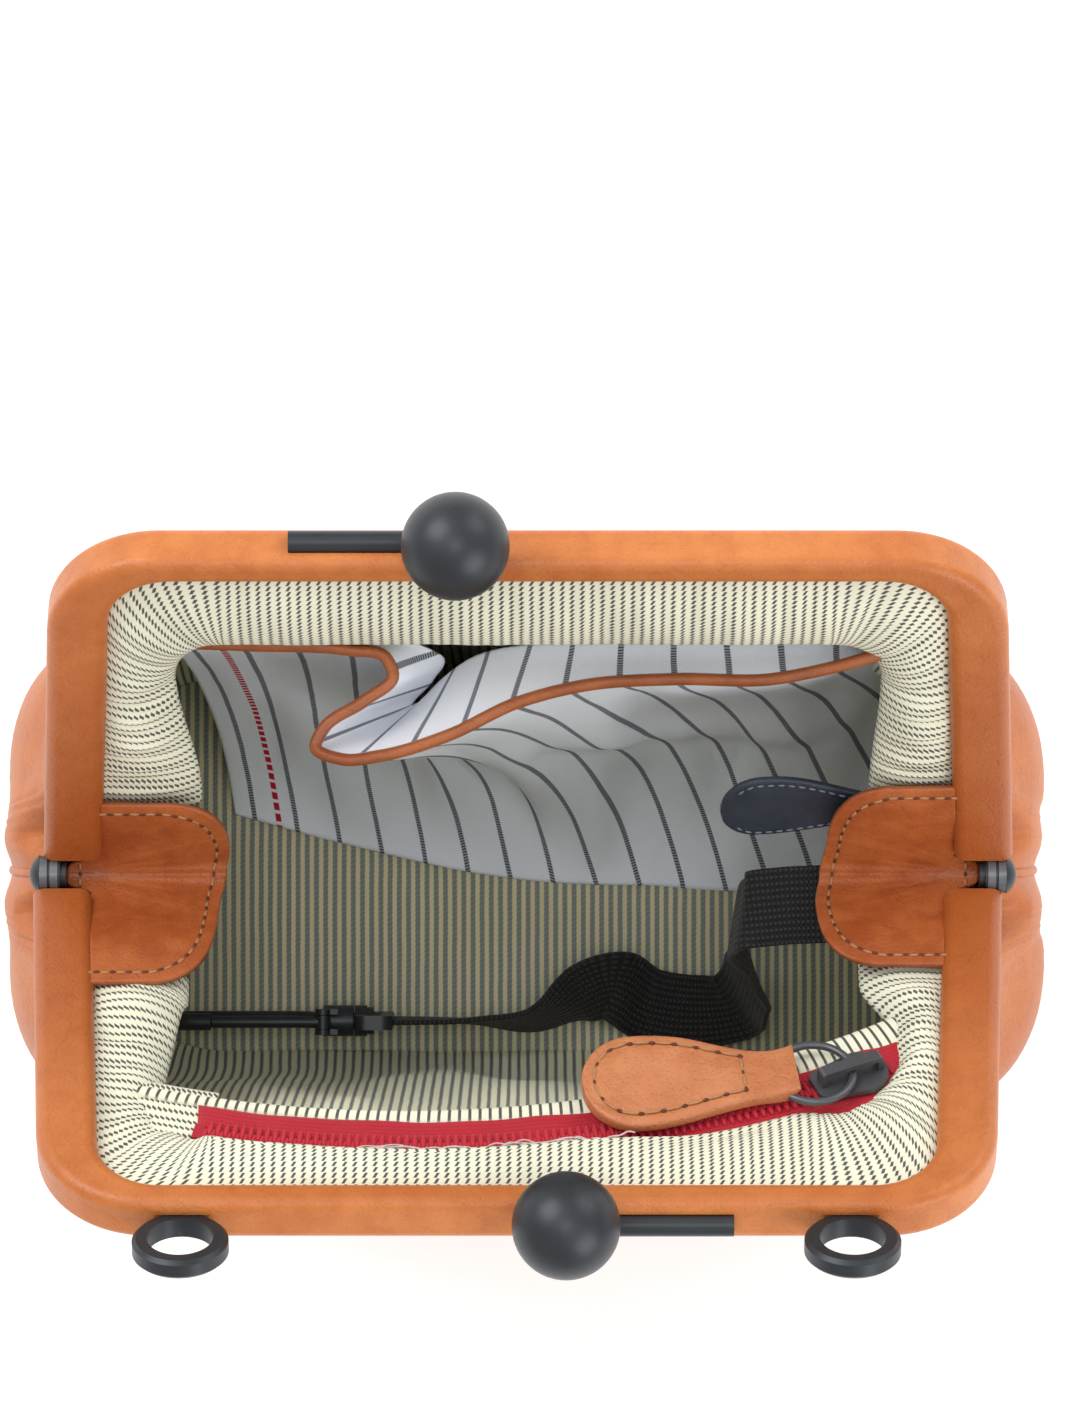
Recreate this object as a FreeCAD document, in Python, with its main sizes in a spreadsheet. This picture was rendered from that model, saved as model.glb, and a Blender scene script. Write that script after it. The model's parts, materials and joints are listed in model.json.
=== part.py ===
import FreeCAD, Part
import math
import os
import Sketcher
from FreeCAD import Placement, Rotation, Vector

# Kiss lock frame purse, standing open: +Z up, +Y to the rear, origin under the middle of the base.
# Each frame half is drawn closed, upright on the hinge axis with its mating face on the XZ plane,
# and then leans out by the open angle. All sizes are in millimetres and degrees.
SIZES = {
    # stance
    "hinge_height": 78, "open_angle": 42, "half_shift": 1,
    # frame half: leather casing over a metal strip
    "frame_reach": 85, "top_half_width": 85.5, "hinge_half_width": 91.5, "bar_width": 6,
    "leg_width": 11, "frame_depth": 9.5, "mating_gap": 0.15, "corner_radius": 21,
    "inner_corner_radius": 12, "edge_round": 2.2, "leg_end": 3.7, "casing_wall": 1.5,
    "strip_thickness": 1.5, "strip_depth": 5, "strip_setback": 1.65, "eye_radius": 3.5,
    "eye_reach": 12,
    # hinge
    "rivet_radius": 1.6, "rivet_head_radius": 3.65, "rivet_dome": 2, "rivet_tail_radius": 2.6,
    "rivet_tail": 1, "washer_radius": 3.3, "washer_thickness": 0.4, "running_clearance": 0.05,
    # clasp
    "ball_radius": 9.6, "ball_spacing": 19.5, "clasp_offset": -2, "rod_radius": 2.05,
    "rod_length": 30, "rod_setback": 4.9, "rod_bend": 5, "stem_length": 14.3, "stem_lean": 43.5,
    "stem_sink": 5.6, "slot_clearance": 0.15,
    # strap rings
    "ring_outer_radius": 8.6, "ring_bore_radius": 5.9, "ring_length": 3.7, "ring_bevel": 0.7,
    "ring_place": 59.6, "ring_setback": 5.2, "ring_lean": 15,
    # striped collars inside the frame halves
    "collar_width": 16, "collar_side_width": 12, "collar_start": 27, "collar_thickness": 0.8,
    "collar_setback": 3, "front_collar_setback": 6,
    # curved zip in the front collar
    "zip_radius": 198, "zip_centre_offset": -18.9, "zip_crest_drop": 13, "zip_left_room": 18.2,
    "zip_right_room": 5.2, "tape_width": 5, "tape_thickness": 0.6, "coil_width": 1.5,
    "coil_height": 1.5, "coil_gap": 0.3, "coil_setback": 5.1, "lip_width": 4.5, "lip_thickness": 1.6,
    "stop_length": 2,
    # zip slider, pull ring and pull tab
    "slider_length": 14.5, "slider_slack": 0.5, "slider_width": 10, "slider_tail_width": 6.4, "slider_plate": 1.1,
    "slider_throat": 3, "slider_post": 1.6, "slider_post_length": 3.2, "bridge_width": 2.4,
    "bridge_height": 3.2, "bridge_span": 12.4, "bridge_bar": 1, "slider_round": 1.4,
    "pull_ring_radius": 7.25, "pull_wire_radius": 0.75, "tab_length": 30.8, "tab_width": 19.4,
    "tab_narrow_width": 11.4, "tab_thickness": 3, "tab_neck_width": 5, "tab_neck_length": 4.6,
    "tab_neck_thickness": 4, "tab_tunnel_radius": 1.2, "pull_lift": 0.25, "pull_swing": -17,
    # outer leather body, by level from the base up
    "leather_thickness": 1.8, "seam_gap": 0.1, "seat_clearance": 0.3,
    "base_half_width": 85, "base_half_depth": 40, "base_corner": 26,
    "heel_height": 12, "heel_half_width": 93, "heel_half_depth": 44, "heel_corner": 30,
    "flank_drop": 46, "flank_half_width": 99, "flank_half_depth": 47, "flank_corner": 33,
    "belly_drop": 28, "belly_half_width": 100.5, "belly_half_depth": 48, "belly_corner": 34,
    "waist_drop": 12, "waist_half_width": 97.5, "waist_half_depth": 48.5, "waist_corner": 34,
    "hip_half_width": 91, "hip_half_depth": 49, "hip_corner": 32,
    "shoulder_rise": 17, "shoulder_half_width": 87.5, "shoulder_half_depth": 51.5,
    "shoulder_corner": 25,
    "yoke_rise": 36, "yoke_half_width": 85.5, "yoke_half_depth": 56, "yoke_corner": 18,
    "brim_rise": 58, "brim_half_width": 83.5, "brim_half_depth": 61.5, "brim_corner": 12,
    # lining, by level from its floor up
    "lining_thickness": 0.8, "lining_setback": 5, "front_lining_setback": 7.2, "floor_lift": 2.2,
    "floor_half_width": 82, "floor_half_depth": 37.5, "floor_corner": 24,
    "foot_height": 12, "foot_half_width": 90, "foot_half_depth": 41, "foot_corner": 28,
    "bowl_drop": 38, "bowl_half_width": 95, "bowl_half_depth": 42.5, "bowl_corner": 30,
    "neck_drop": 18, "neck_half_width": 88, "neck_half_depth": 43, "neck_corner": 30,
    "lip_drop": 5.5, "lip_half_width": 79, "lip_half_depth": 43.2, "lip_corner": 26,
    "mouth_rise": 30, "mouth_half_width": 77.5, "mouth_half_depth": 43.4, "mouth_corner": 16,
    # gusset patches and side tab
    "patch_reach": 24, "patch_inner": 54, "patch_outer": 76, "patch_thickness": 1.2,
    "patch_setback": 2.2, "tongue_half_width": 2.3, "tongue_end": 85.8, "tongue_drop": 3.6,
    "side_tab_length": 24, "side_tab_width": 13, "side_tab_thickness": 1.6, "side_tab_place": 38.5,
    "side_tab_reach": 21.5, "side_tab_setback": 3.7,
    # zip pocket bag
    "bag_half_width": 56, "bag_drop": 24, "bag_rise": 28, "bag_thickness": 1.2, "bag_setback": 45.2,
    "bag_round": 12,
    # slip pocket
    "pocket_thickness": 0.8, "pocket_floor": 3.4, "pocket_rise": 34, "binding_width": 4,
    "binding_thickness": 2, "pocket_half_width": 60, "pocket_depth": 38,
    # key leash
    "webbing_width": 15, "webbing_thickness": 1.3, "leash_span": 100,
    # swivel snap hook, lying along X
    "hook_place": -31, "hook_height": 13, "eye_start": -26, "loop_length": 7.6, "loop_height": 19,
    "loop_bar": 2.4, "loop_depth": 2.8, "post_radius": 1.7, "post_head_radius": 2.7,
    "post_head_length": 1.3, "barrel_radius": 3.1, "barrel_length": 6, "barrel_gap": 0.3,
    "hook_wire_radius": 1.7, "hook_bow_radius": 4.8, "hook_length": 31, "hook_nose": 4,
    "gate_radius": 1.2, "gate_pin_radius": 0.8, "gate_eye_radius": 1.5, "cheek_gap": 1.45,
    "cheek_thickness": 1.1,
    # cuts run this far past what they cut
    "overrun": 5,
}

# Lengths that follow from the driving sizes.
DERIVED = {
    "taper": "=(hinge_half_width - top_half_width) / frame_reach",
    "outer_end": "=hinge_half_width - taper * leg_end",
    "inner_top": "=frame_reach - bar_width",
    "inner_end": "=outer_end - leg_width",
    "inner_top_half": "=top_half_width + taper * bar_width - leg_width",
    "below_end": "=leg_end - overrun",
    "inner_below": "=inner_end + taper * overrun",
    "strip_top": "=frame_reach - casing_wall",
    "strip_end": "=outer_end - casing_wall",
    "strip_top_half": "=top_half_width + taper * casing_wall - casing_wall",
    "strip_inner_top": "=strip_top - strip_thickness",
    "strip_inner_below": "=strip_end - strip_thickness + taper * overrun",
    "strip_inner_half": "=strip_top_half + taper * strip_thickness - strip_thickness",
    "strip_corner": "=corner_radius - casing_wall",
    "strip_inner_corner": "=strip_corner - strip_thickness",
    "eye_out": "=hinge_half_width - casing_wall",
    "eye_in": "=eye_out - strip_thickness",
    "rod_height": "=strip_top + rod_radius",
    "collar_outer_start": "=hinge_half_width - taper * collar_start - leg_width",
    "collar_inner_top": "=inner_top - collar_width",
    "collar_inner_top_half": "=inner_top_half + taper * collar_width - collar_side_width",
    "collar_below": "=collar_start - overrun",
    "collar_inner_below": "=collar_outer_start + taper * overrun - collar_side_width",
    "collar_inner_corner": "=inner_corner_radius",
    "zip_left_span": "=inner_top_half + zip_centre_offset - zip_left_room",
    "zip_right_span": "=inner_top_half - zip_centre_offset - zip_right_room",
    "zip_centre_drop": "=zip_radius + zip_crest_drop - inner_top",
    "tape_out": "=zip_radius + coil_width + coil_gap / 2 + tape_width",
    "lip_in": "=zip_radius - coil_width - coil_gap / 2 - tape_width - lip_width",
    "plane_setback": "=mating_gap + frame_depth + seat_clearance",
}

# The slip pocket's mouth, left to right, as shares of its half width and of its depth behind the
# middle of the bag: the cloth doubles back on itself once, left of the middle.
MOUTH_SHARES = ((-1.0, 0.98), (-0.52, 0.93), (-0.36, 0.9), (-0.4, 0.72), (-0.6, 0.6), (-0.55, 0.47),
                (-0.34, 0.5), (0.05, 0.72), (0.5, 0.86), (1.0, 0.93))
SEAM_SHARES = ((-0.86, 0.24), (-0.66, 0.17), (-0.5, 0.13), (-0.38, 0.1), (-0.28, 0.07), (-0.18, 0.05),
               (-0.06, 0.03), (0.22, 0.02), (0.52, 0.05), (0.84, 0.1))
RIBBON_STEPS = 36

# The webbing's route from the right side seam to the hook: a place as shares of the leash's span, the
# share of the hinge's height that its own height adds to, and then the way its width points.
LEASH_SHARES = (((0.75, -0.02, -0.06), 1, (0, 1, 0)), ((0.58, -0.04, -0.055), 1, (0, 1, 0)),
                ((0.45, -0.05, -0.07), 1, (0, 1, 0)), ((0.405, -0.06, -0.12), 1, (0, 1, 0)),
                ((0.39, -0.11, 0.03), 0.4, (0.2, 1, 0)), ((0.36, -0.16, 0.15), 0, (0.3, 1, 0)),
                ((0.24, -0.23, 0.095), 0, (0.2, 0.9, 0.35)), ((0.04, -0.29, 0.12), 0, (0, 0.4, 0.9)),
                ((-0.254, -0.31, 0.13), 0, (0, 0, 1)))

X_AXIS = Vector(1, 0, 0)
Y_AXIS = Vector(0, 1, 0)
Z_AXIS = Vector(0, 0, 1)
FRONT = 1
REAR = -1
QUARTER_TURN = 90
HALF_TURN = 180
PARALLEL_TOLERANCE = 1e-6

doc = FreeCAD.newDocument("purse")
sheet = doc.addObject("Spreadsheet::Sheet", "Sizes")
for row, (alias, content) in enumerate({**SIZES, **DERIVED}.items(), start=1):
    sheet.set(f"A{row}", str(content))
    sheet.setAlias(f"A{row}", alias)
doc.recompute()
parts = []


def number(ref):
    """The value of a cell of the sheet; a leading minus turns its sign."""
    return -float(sheet.get(ref[1:])) if ref.startswith("-") else float(sheet.get(ref))


def bound(ref):
    """The expression that reads a cell of the sheet."""
    return "-Sizes." + ref[1:] if ref.startswith("-") else "Sizes." + ref


def sub_part(item, label, placement=Placement()):
    """Name a finished piece, put it in its place and list it for writing."""
    item.Label = label
    item.Placement = placement
    parts.append(item)
    return item


def half_place(side):
    """Where a frame half, or what it carries, stands: spun for the rear, shifted, leaning out."""
    spin = Rotation(Z_AXIS, 0 if side == FRONT else HALF_TURN)
    lean = Rotation(X_AXIS, side * number("open_angle"))
    return Placement(Vector(-side * number("half_shift"), 0, number("hinge_height")), lean * spin)


def primitive(kind, name, place=Placement(), **sizes):
    """A primitive solid whose dimensions are bound to cells or to expressions of cells."""
    item = doc.addObject("Part::" + kind, name)
    for dimension, expression in sizes.items():
        item.setExpression(dimension, expression)
    item.Placement = place
    return item


def join(kind, name, first, *others):
    """Cut, Common or Fuse of a first solid with others."""
    item = doc.addObject("Part::" + ("MultiFuse" if kind == "Fuse" else kind), name)
    if kind == "Fuse":
        item.Shapes = [first, *others]
        return item
    tool = others[0]
    if len(others) > 1:
        tool = doc.addObject("Part::MultiFuse", name + "_tools")
        tool.Shapes = list(others)
    item.Base = first
    item.Tool = tool
    return item


def solid(name, shape):
    """A piece whose shape is worked out here from the sheet's values."""
    item = doc.addObject("Part::Feature", name)
    item.Shape = shape
    return item


def sketch_on(body, name, role, setback=None):
    """An empty sketch on one of the body's own planes, moved along the plane's normal."""
    sketch = body.newObject("Sketcher::SketchObject", name)
    plane = next(item for item in body.Origin.OriginFeatures if item.Role == role)
    sketch.AttachmentSupport = [(plane, "")]
    sketch.MapMode = "FlatFace"
    if setback:
        sketch.setExpression("AttachmentOffset.Base.z", bound(setback))
    return sketch


def fix_point(sketch, geometry, position, point):
    """Bind a point's two coordinates to cells."""
    for kind, ref in zip(("DistanceX", "DistanceY"), point):
        if ref is None:
            place = -2 if kind == "DistanceX" else -1
            sketch.addConstraint(Sketcher.Constraint("PointOnObject", geometry, position, place))
            continue
        rule = Sketcher.Constraint(kind, -1, 1, geometry, position, number(ref))
        index = sketch.addConstraint(rule)
        sketch.renameConstraint(index, f"{kind}_{geometry}_{position}")
        sketch.setExpression(f"Constraints.{kind}_{geometry}_{position}", bound(ref))


def polygon(body, name, role, points, setback=None):
    """A closed outline of straight lines through points given as pairs of cells, None for zero."""
    sketch = sketch_on(body, name, role, setback)
    places = [Vector(*(number(ref) if ref else 0 for ref in point)) for point in points]
    for start, end in zip(places, places[1:] + places[:1]):
        sketch.addGeometry(Part.LineSegment(start, end), False)
    for index, point in enumerate(points):
        after = (index + 1) % len(points)
        sketch.addConstraint(Sketcher.Constraint("Coincident", index, 2, after, 1))
        fix_point(sketch, index, 1, point)
    return sketch


def pad(body, sketch, length):
    """Thicken a sketch along its normal."""
    feature = body.newObject("PartDesign::Pad", sketch.Name + "_pad")
    feature.Profile = sketch
    feature.setExpression("Length", length)
    doc.recompute()
    return feature


def pocket(body, sketch):
    """Cut a sketch right through the body both ways."""
    feature = body.newObject("PartDesign::Pocket", sketch.Name + "_pocket")
    feature.Profile = sketch
    feature.Type = "ThroughAll"
    feature.Midplane = True
    doc.recompute()
    return feature


def round_edges(body, radius, chosen):
    """Fillet the edges of the body's tip that a test on the edge's two ends and middle picks."""
    base = body.Tip
    names = []
    for index, edge in enumerate(base.Shape.Edges, start=1):
        if chosen(edge):
            names.append(f"Edge{index}")
    feature = body.newObject("PartDesign::Fillet", base.Name + "_round")
    feature.Base = (base, names)
    feature.setExpression("Radius", bound(radius))
    doc.recompute()
    return feature


def runs_along(edge, axis):
    """Whether a straight edge is parallel to an axis."""
    if edge.Curve.TypeId != "Part::GeomLine":
        return False
    return abs(abs(edge.Curve.Direction.dot(axis)) - 1) < PARALLEL_TOLERANCE


def trapezoid(body, name, low, low_half, high, high_half, setback=None):
    """An upright outline in a frame half's plane, symmetrical, with sloping sides."""
    points = (("-" + low_half, low), (low_half, low), (high_half, high), ("-" + high_half, high))
    return polygon(body, name, "XZ_Plane", points, setback)


def top_corners(edge, low):
    """Whether an edge is one of the corners through the plate's thickness, above a height."""
    return runs_along(edge, Y_AXIS) and edge.CenterOfMass.z > low


def frame_plate(name, outer, setback, depth, corner):
    """A plate in a frame half's plane with its two upper corners rounded."""
    body = doc.addObject("PartDesign::Body", name)
    pad(body, trapezoid(body, name + "_outline", *outer, setback), depth)
    middle = (number(outer[0]) + number(outer[2])) / 2
    round_edges(body, corner, lambda edge: top_corners(edge, middle))
    return body


def frame_bow(name, outer, inner, setback, depth, corner, inner_corner):
    """A bow of the frame's shape: the plate above, opened from below, its inner corners rounded."""
    body = frame_plate(name, outer, setback, depth, corner)
    pocket(body, trapezoid(body, name + "_inside", *inner))
    limit = number(inner[2])
    half = number(inner[3])
    round_edges(body, inner_corner, lambda edge: runs_along(edge, Y_AXIS)
                and abs(edge.CenterOfMass.z - limit) < number("running_clearance")
                and abs(edge.CenterOfMass.x) < half + number("running_clearance"))
    return body


def strip_piece(side_name):
    """The metal strip inside a casing: a thin bow whose ends are flat eyes on the hinge axis."""
    outside = frame_plate(side_name + "_strip_outside",
                          ("leg_end", "strip_end", "strip_top", "strip_top_half"),
                          "strip_setback", "Sizes.strip_depth", "strip_corner")
    inside = frame_plate(side_name + "_strip_inside",
                         ("below_end", "strip_inner_below", "strip_inner_top", "strip_inner_half"),
                         "strip_setback", "Sizes.strip_depth", "strip_inner_corner")
    pieces = [join("Cut", side_name + "_strip_bow", outside, inside)]
    for hand in (-1, 1):
        start = number("eye_in") if hand > 0 else -number("eye_out")
        along = Rotation(Y_AXIS, QUARTER_TURN)
        pieces.append(primitive("Cylinder", side_name + "_eye", Placement(Vector(start, 0, 0), along),
                                Radius="Sizes.eye_radius", Height="Sizes.strip_thickness"))
        shank = Vector(start, -number("strip_setback") - number("strip_depth"), 0)
        pieces.append(primitive("Box", side_name + "_shank", Placement(shank, Rotation()),
                                Length="Sizes.strip_thickness", Width="Sizes.strip_depth",
                                Height="Sizes.eye_reach"))
    whole = join("Fuse", side_name + "_strip_whole", *pieces)
    bore_start = Vector(-number("hinge_half_width"), 0, 0)
    bore = primitive("Cylinder", side_name + "_eye_bore",
                     Placement(bore_start, Rotation(Y_AXIS, QUARTER_TURN)),
                     Radius="Sizes.rivet_radius + Sizes.running_clearance",
                     Height="2 * Sizes.hinge_half_width")
    return join("Cut", side_name + "_strip", whole, bore)


def ball_offset(side):
    """Where a half's ball stands along its bar, in the half's own frame."""
    middle = number("clasp_offset") * side + number("half_shift")
    return number("ball_spacing") / 2 + middle


def stem_way():
    """The direction in which the clasp's stem rises, up and over the mating plane."""
    lean = math.radians(number("stem_lean"))
    return Vector(0, math.cos(lean), math.sin(lean))


def rod_piece(name, side, radius):
    """A round rod along the bar that bends up into the ball's stem."""
    ball = ball_offset(side)
    root = Vector(ball, -number("rod_setback"), number("rod_height"))
    bend = number("rod_bend")
    way = stem_way()
    start = root + X_AXIS * number("rod_length")
    turn_in = root + X_AXIS * bend
    turn_out = root + way * bend
    centre = root + (X_AXIS + way) * bend
    middle = centre - (X_AXIS + way).normalize() * bend
    tip = root + way * (number("stem_length") - number("ball_radius") + number("stem_sink"))
    path = Part.Wire([Part.makeLine(start, turn_in), Part.Arc(turn_in, middle, turn_out).toShape(),
                      Part.makeLine(turn_out, tip)])
    section = Part.Wire(Part.makeCircle(radius, start, X_AXIS))
    return solid(name, path.makePipeShell([section], True, False))


def ball_piece(name, side, rod):
    """A clasp ball with the blind socket that its stem sits in."""
    centre = Vector(ball_offset(side), -number("rod_setback"), number("rod_height"))
    centre += stem_way() * number("stem_length")
    place = half_place(side).multiply(Placement(centre, Rotation()))
    sphere = primitive("Sphere", name + "_sphere", place, Radius="Sizes.ball_radius")
    return join("Cut", name, sphere, rod)


def ring_place(hand):
    """A strap ring's place on the front bar: its foot sunk to the strip, its top leaning inward."""
    lean = math.radians(number("ring_lean"))
    radius = number("ring_outer_radius")
    rise = radius * math.cos(lean) + number("ring_length") / 2 * math.sin(lean)
    height = number("strip_top") + number("running_clearance") + rise
    centre = Vector(hand * number("ring_place"), radius * math.sin(lean) - number("ring_setback"), height)
    return Placement(centre, Rotation(X_AXIS, QUARTER_TURN - number("ring_lean")))


def ring_piece(name, hand):
    """A bevelled metal ring."""
    start = Vector(0, 0, -number("ring_length") / 2)
    outside = primitive("Cylinder", name + "_outside", Placement(start, Rotation()),
                        Radius="Sizes.ring_outer_radius", Height="Sizes.ring_length")
    bore = primitive("Cylinder", name + "_bore", Placement(start, Rotation()),
                     Radius="Sizes.ring_bore_radius", Height="Sizes.ring_length")
    blank = join("Cut", name + "_blank", outside, bore)
    doc.recompute()
    bevel = doc.addObject("Part::Chamfer", name)
    bevel.Base = blank
    size = number("ring_bevel")
    rims = [index for index, edge in enumerate(blank.Shape.Edges, start=1)
            if edge.Curve.TypeId == "Part::GeomCircle" and edge.Curve.Radius > number("ring_bore_radius")]
    bevel.Edges = [(index, size, size) for index in rims]
    return bevel


def casing_piece(side_name, side, strip, with_rings):
    """The leather casing: a rounded bow, hollow for the strip, slotted for the rod and the rings."""
    body = frame_bow(side_name + "_casing_blank",
                     ("leg_end", "outer_end", "frame_reach", "top_half_width"),
                     ("below_end", "inner_below", "inner_top", "inner_top_half"),
                     "mating_gap", "Sizes.frame_depth", "corner_radius", "inner_corner_radius")
    faces = (-number("mating_gap"), -number("mating_gap") - number("frame_depth"))
    end = number("leg_end") + number("running_clearance")

    def long_edge(edge):
        box = edge.BoundBox
        flat = box.YLength < number("running_clearance")
        on_face = any(abs(box.YMin - face) < number("running_clearance") for face in faces)
        return flat and on_face and box.ZMax > end

    round_edges(body, "edge_round", long_edge)
    body.Placement = half_place(side)
    slot = rod_piece(side_name + "_rod_slot", side, number("rod_radius") + number("slot_clearance"))
    slot.Placement = half_place(side)
    cuts = [strip, slot]
    if with_rings:
        for hand in (-1, 1):
            place = half_place(side).multiply(ring_place(hand))
            start = Vector(0, 0, -number("ring_length") / 2 - number("slot_clearance"))
            place = place.multiply(Placement(start, Rotation()))
            cuts.append(primitive("Cylinder", side_name + "_ring_slot", place,
                                  Radius="Sizes.ring_outer_radius + Sizes.slot_clearance",
                                  Height="Sizes.ring_length + 2 * Sizes.slot_clearance"))
    return join("Cut", side_name + "_casing", body, *cuts)


def frame_half(side_name, side):
    """Strip, casing, clasp rod and ball of one half."""
    place = half_place(side)
    strip = sub_part(strip_piece(side_name), side_name + "_frame_strip", place)
    rod = sub_part(rod_piece(side_name + "_rod", side, number("rod_radius")),
                   side_name + "_clasp_rod", place)
    sub_part(ball_piece(side_name + "_ball", side, rod), side_name + "_clasp_ball")
    sub_part(casing_piece(side_name, side, strip, side == FRONT), side_name + "_frame_casing")


def hinge_stack():
    """One rivet and its washers at each side; the outer eye is the front half's on the left."""
    rivets = []
    washers = []
    out = number("eye_out") + number("half_shift") + number("running_clearance")
    gap_in = number("eye_out") - number("half_shift") + number("running_clearance")
    tail = number("eye_in") - number("half_shift") - number("running_clearance")
    thin = number("washer_thickness")
    for hand in (-1, 1):
        turn = Rotation(Y_AXIS, hand * QUARTER_TURN)
        shank = Part.makeCylinder(number("rivet_radius"), out - tail + thin, Vector(0, 0, tail - thin))
        upset = Part.makeCylinder(number("rivet_tail_radius"), number("rivet_tail"),
                                  Vector(0, 0, tail - thin - number("rivet_tail")))
        head = number("rivet_head_radius")
        rise = number("rivet_dome")
        bulge = (head * head + rise * rise) / (2 * rise)
        dome = Part.makeSphere(bulge, Vector(0, 0, out + rise - bulge))
        dome = dome.common(Part.makeCylinder(head, rise, Vector(0, 0, out)))
        rivet = shank.fuse([upset, dome]).removeSplitter()
        bore = number("rivet_radius") + number("running_clearance")
        for start in (gap_in, tail - thin):
            ring = Part.makeCylinder(number("washer_radius"), thin, Vector(0, 0, start))
            ring = ring.cut(Part.makeCylinder(bore, thin, Vector(0, 0, start)))
            ring.Placement = Placement(Vector(), turn)
            washers.append(ring)
        rivet.Placement = Placement(Vector(), turn)
        rivets.append(rivet)
    place = Placement(Vector(0, 0, number("hinge_height")), Rotation())
    sub_part(solid("rivets", Part.Compound(rivets)), "hinge_rivets", place)
    sub_part(solid("washers", Part.Compound(washers)), "hinge_washers", place)


def rings():
    """The two strap rings of the front half."""
    for hand, name in ((-1, "strap_ring_left"), (1, "strap_ring_right")):
        place = half_place(FRONT).multiply(ring_place(hand))
        sub_part(ring_piece(name + "_turned", hand), name, place)


def zip_angle(span):
    """The angle from upright at which the zip's line is a span to the side of its centre."""
    return math.degrees(math.asin(number(span) / number("zip_radius")))


def rest_angle():
    """The slider's angle at rest: against the stop at the zip's right end."""
    room = number("slider_length") / 2 + number("stop_length") + number("slider_slack")
    return zip_angle("zip_right_span") - math.degrees(room / number("zip_radius"))


def zip_sector(name, inner, outer, setback, thickness, left, right):
    """Part of a flat ring about the zip's centre, between two angles from upright."""
    start = Vector(number("zip_centre_offset"), -number(setback), -number("zip_centre_drop"))
    turn = Rotation(X_AXIS, QUARTER_TURN) * Rotation(Z_AXIS, QUARTER_TURN - right)
    place = Placement(start, turn)
    plate = primitive("Cylinder", name + "_outside", place, Radius=outer, Height=thickness)
    plate.Angle = right - left
    hole = primitive("Cylinder", name + "_inside", place, Radius=inner, Height=thickness)
    return join("Cut", name, plate, hole)


def collars():
    """The striped collars: a bow inside the rear casing, and one that ends at the zip in the front."""
    outer = ("collar_start", "collar_outer_start", "inner_top", "inner_top_half")
    inner = ("collar_below", "collar_inner_below", "collar_inner_top", "collar_inner_top_half")
    rear = frame_bow("rear_collar_bow", outer, inner, "collar_setback", "Sizes.collar_thickness",
                     "inner_corner_radius", "collar_inner_corner")
    sub_part(rear, "rear_collar", half_place(REAR))
    plate = frame_plate("front_collar_plate", outer, "front_collar_setback", "Sizes.collar_thickness",
                        "inner_corner_radius")
    window = frame_plate("front_collar_window",
                         ("collar_below", "collar_inner_below", "inner_top", "collar_inner_top_half"),
                         "front_collar_setback", "Sizes.collar_thickness", "collar_inner_corner")
    start = Vector(number("zip_centre_offset"), -number("front_collar_setback"),
                   -number("zip_centre_drop"))
    disc = primitive("Cylinder", "front_collar_disc",
                     Placement(start, Rotation(X_AXIS, QUARTER_TURN)),
                     Radius="Sizes.tape_out", Height="Sizes.collar_thickness")
    opening = join("Common", "front_collar_opening", window, disc)
    clear = math.degrees(number("seam_gap") / number("zip_radius"))
    ends = zip_sector("front_collar_ends", "Sizes.lip_in", "Sizes.tape_out", "front_collar_setback",
                      "Sizes.collar_thickness", -zip_angle("zip_left_span") - clear,
                      zip_angle("zip_right_span") + clear)
    bow = join("Cut", "front_collar_bow", plate, opening)
    sub_part(join("Cut", "front_collar_cut", bow, ends), "front_collar", half_place(FRONT))


def zip_parts():
    """Tapes, coils, folded lip and end stops of the curved zip."""
    place = half_place(FRONT)
    left = -zip_angle("zip_left_span")
    right = zip_angle("zip_right_span")
    tape_in = "Sizes.zip_radius + Sizes.coil_gap / 2"
    tape_low = "Sizes.zip_radius - Sizes.coil_gap / 2"
    bands = {
        "zip_tape_outer": (tape_in + " + Sizes.coil_width", "Sizes.tape_out", "Sizes.tape_thickness"),
        "zip_tape_inner": (tape_low + " - Sizes.coil_width - Sizes.tape_width",
                           tape_low + " - Sizes.coil_width", "Sizes.tape_thickness"),
    }
    for name, (inner, outer, thickness) in bands.items():
        sub_part(zip_sector(name + "_band", inner, outer, "front_collar_setback", thickness, left, right),
                 name, place)
    chain_end = rest_angle() - math.degrees(number("slider_length") / number("zip_radius")) / 2
    for name, inner, outer in (("zip_coil_outer", tape_in, tape_in + " + Sizes.coil_width"),
                               ("zip_coil_inner", tape_low + " - Sizes.coil_width", tape_low)):
        band = zip_sector(name + "_band", inner, outer, "coil_setback", "Sizes.coil_height",
                          left, chain_end)
        sub_part(band, name, place)
    lip_out = tape_low + " - Sizes.coil_width - Sizes.tape_width"
    lip = zip_sector("zip_lip_band", lip_out + " - Sizes.lip_width", lip_out, "front_collar_setback",
                     "Sizes.lip_thickness", left, right)
    sub_part(lip, "zip_lip", place)
    turn = math.degrees(number("stop_length") / number("zip_radius"))
    stops = [zip_sector("zip_stop_" + str(index), tape_low + " - Sizes.coil_width",
                        tape_in + " + Sizes.coil_width", "coil_setback", "Sizes.coil_height",
                        start, start + turn)
             for index, start in enumerate((left - turn, right - turn))]
    sub_part(join("Fuse", "zip_stops_pair", *stops), "zip_stops", place)


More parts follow.
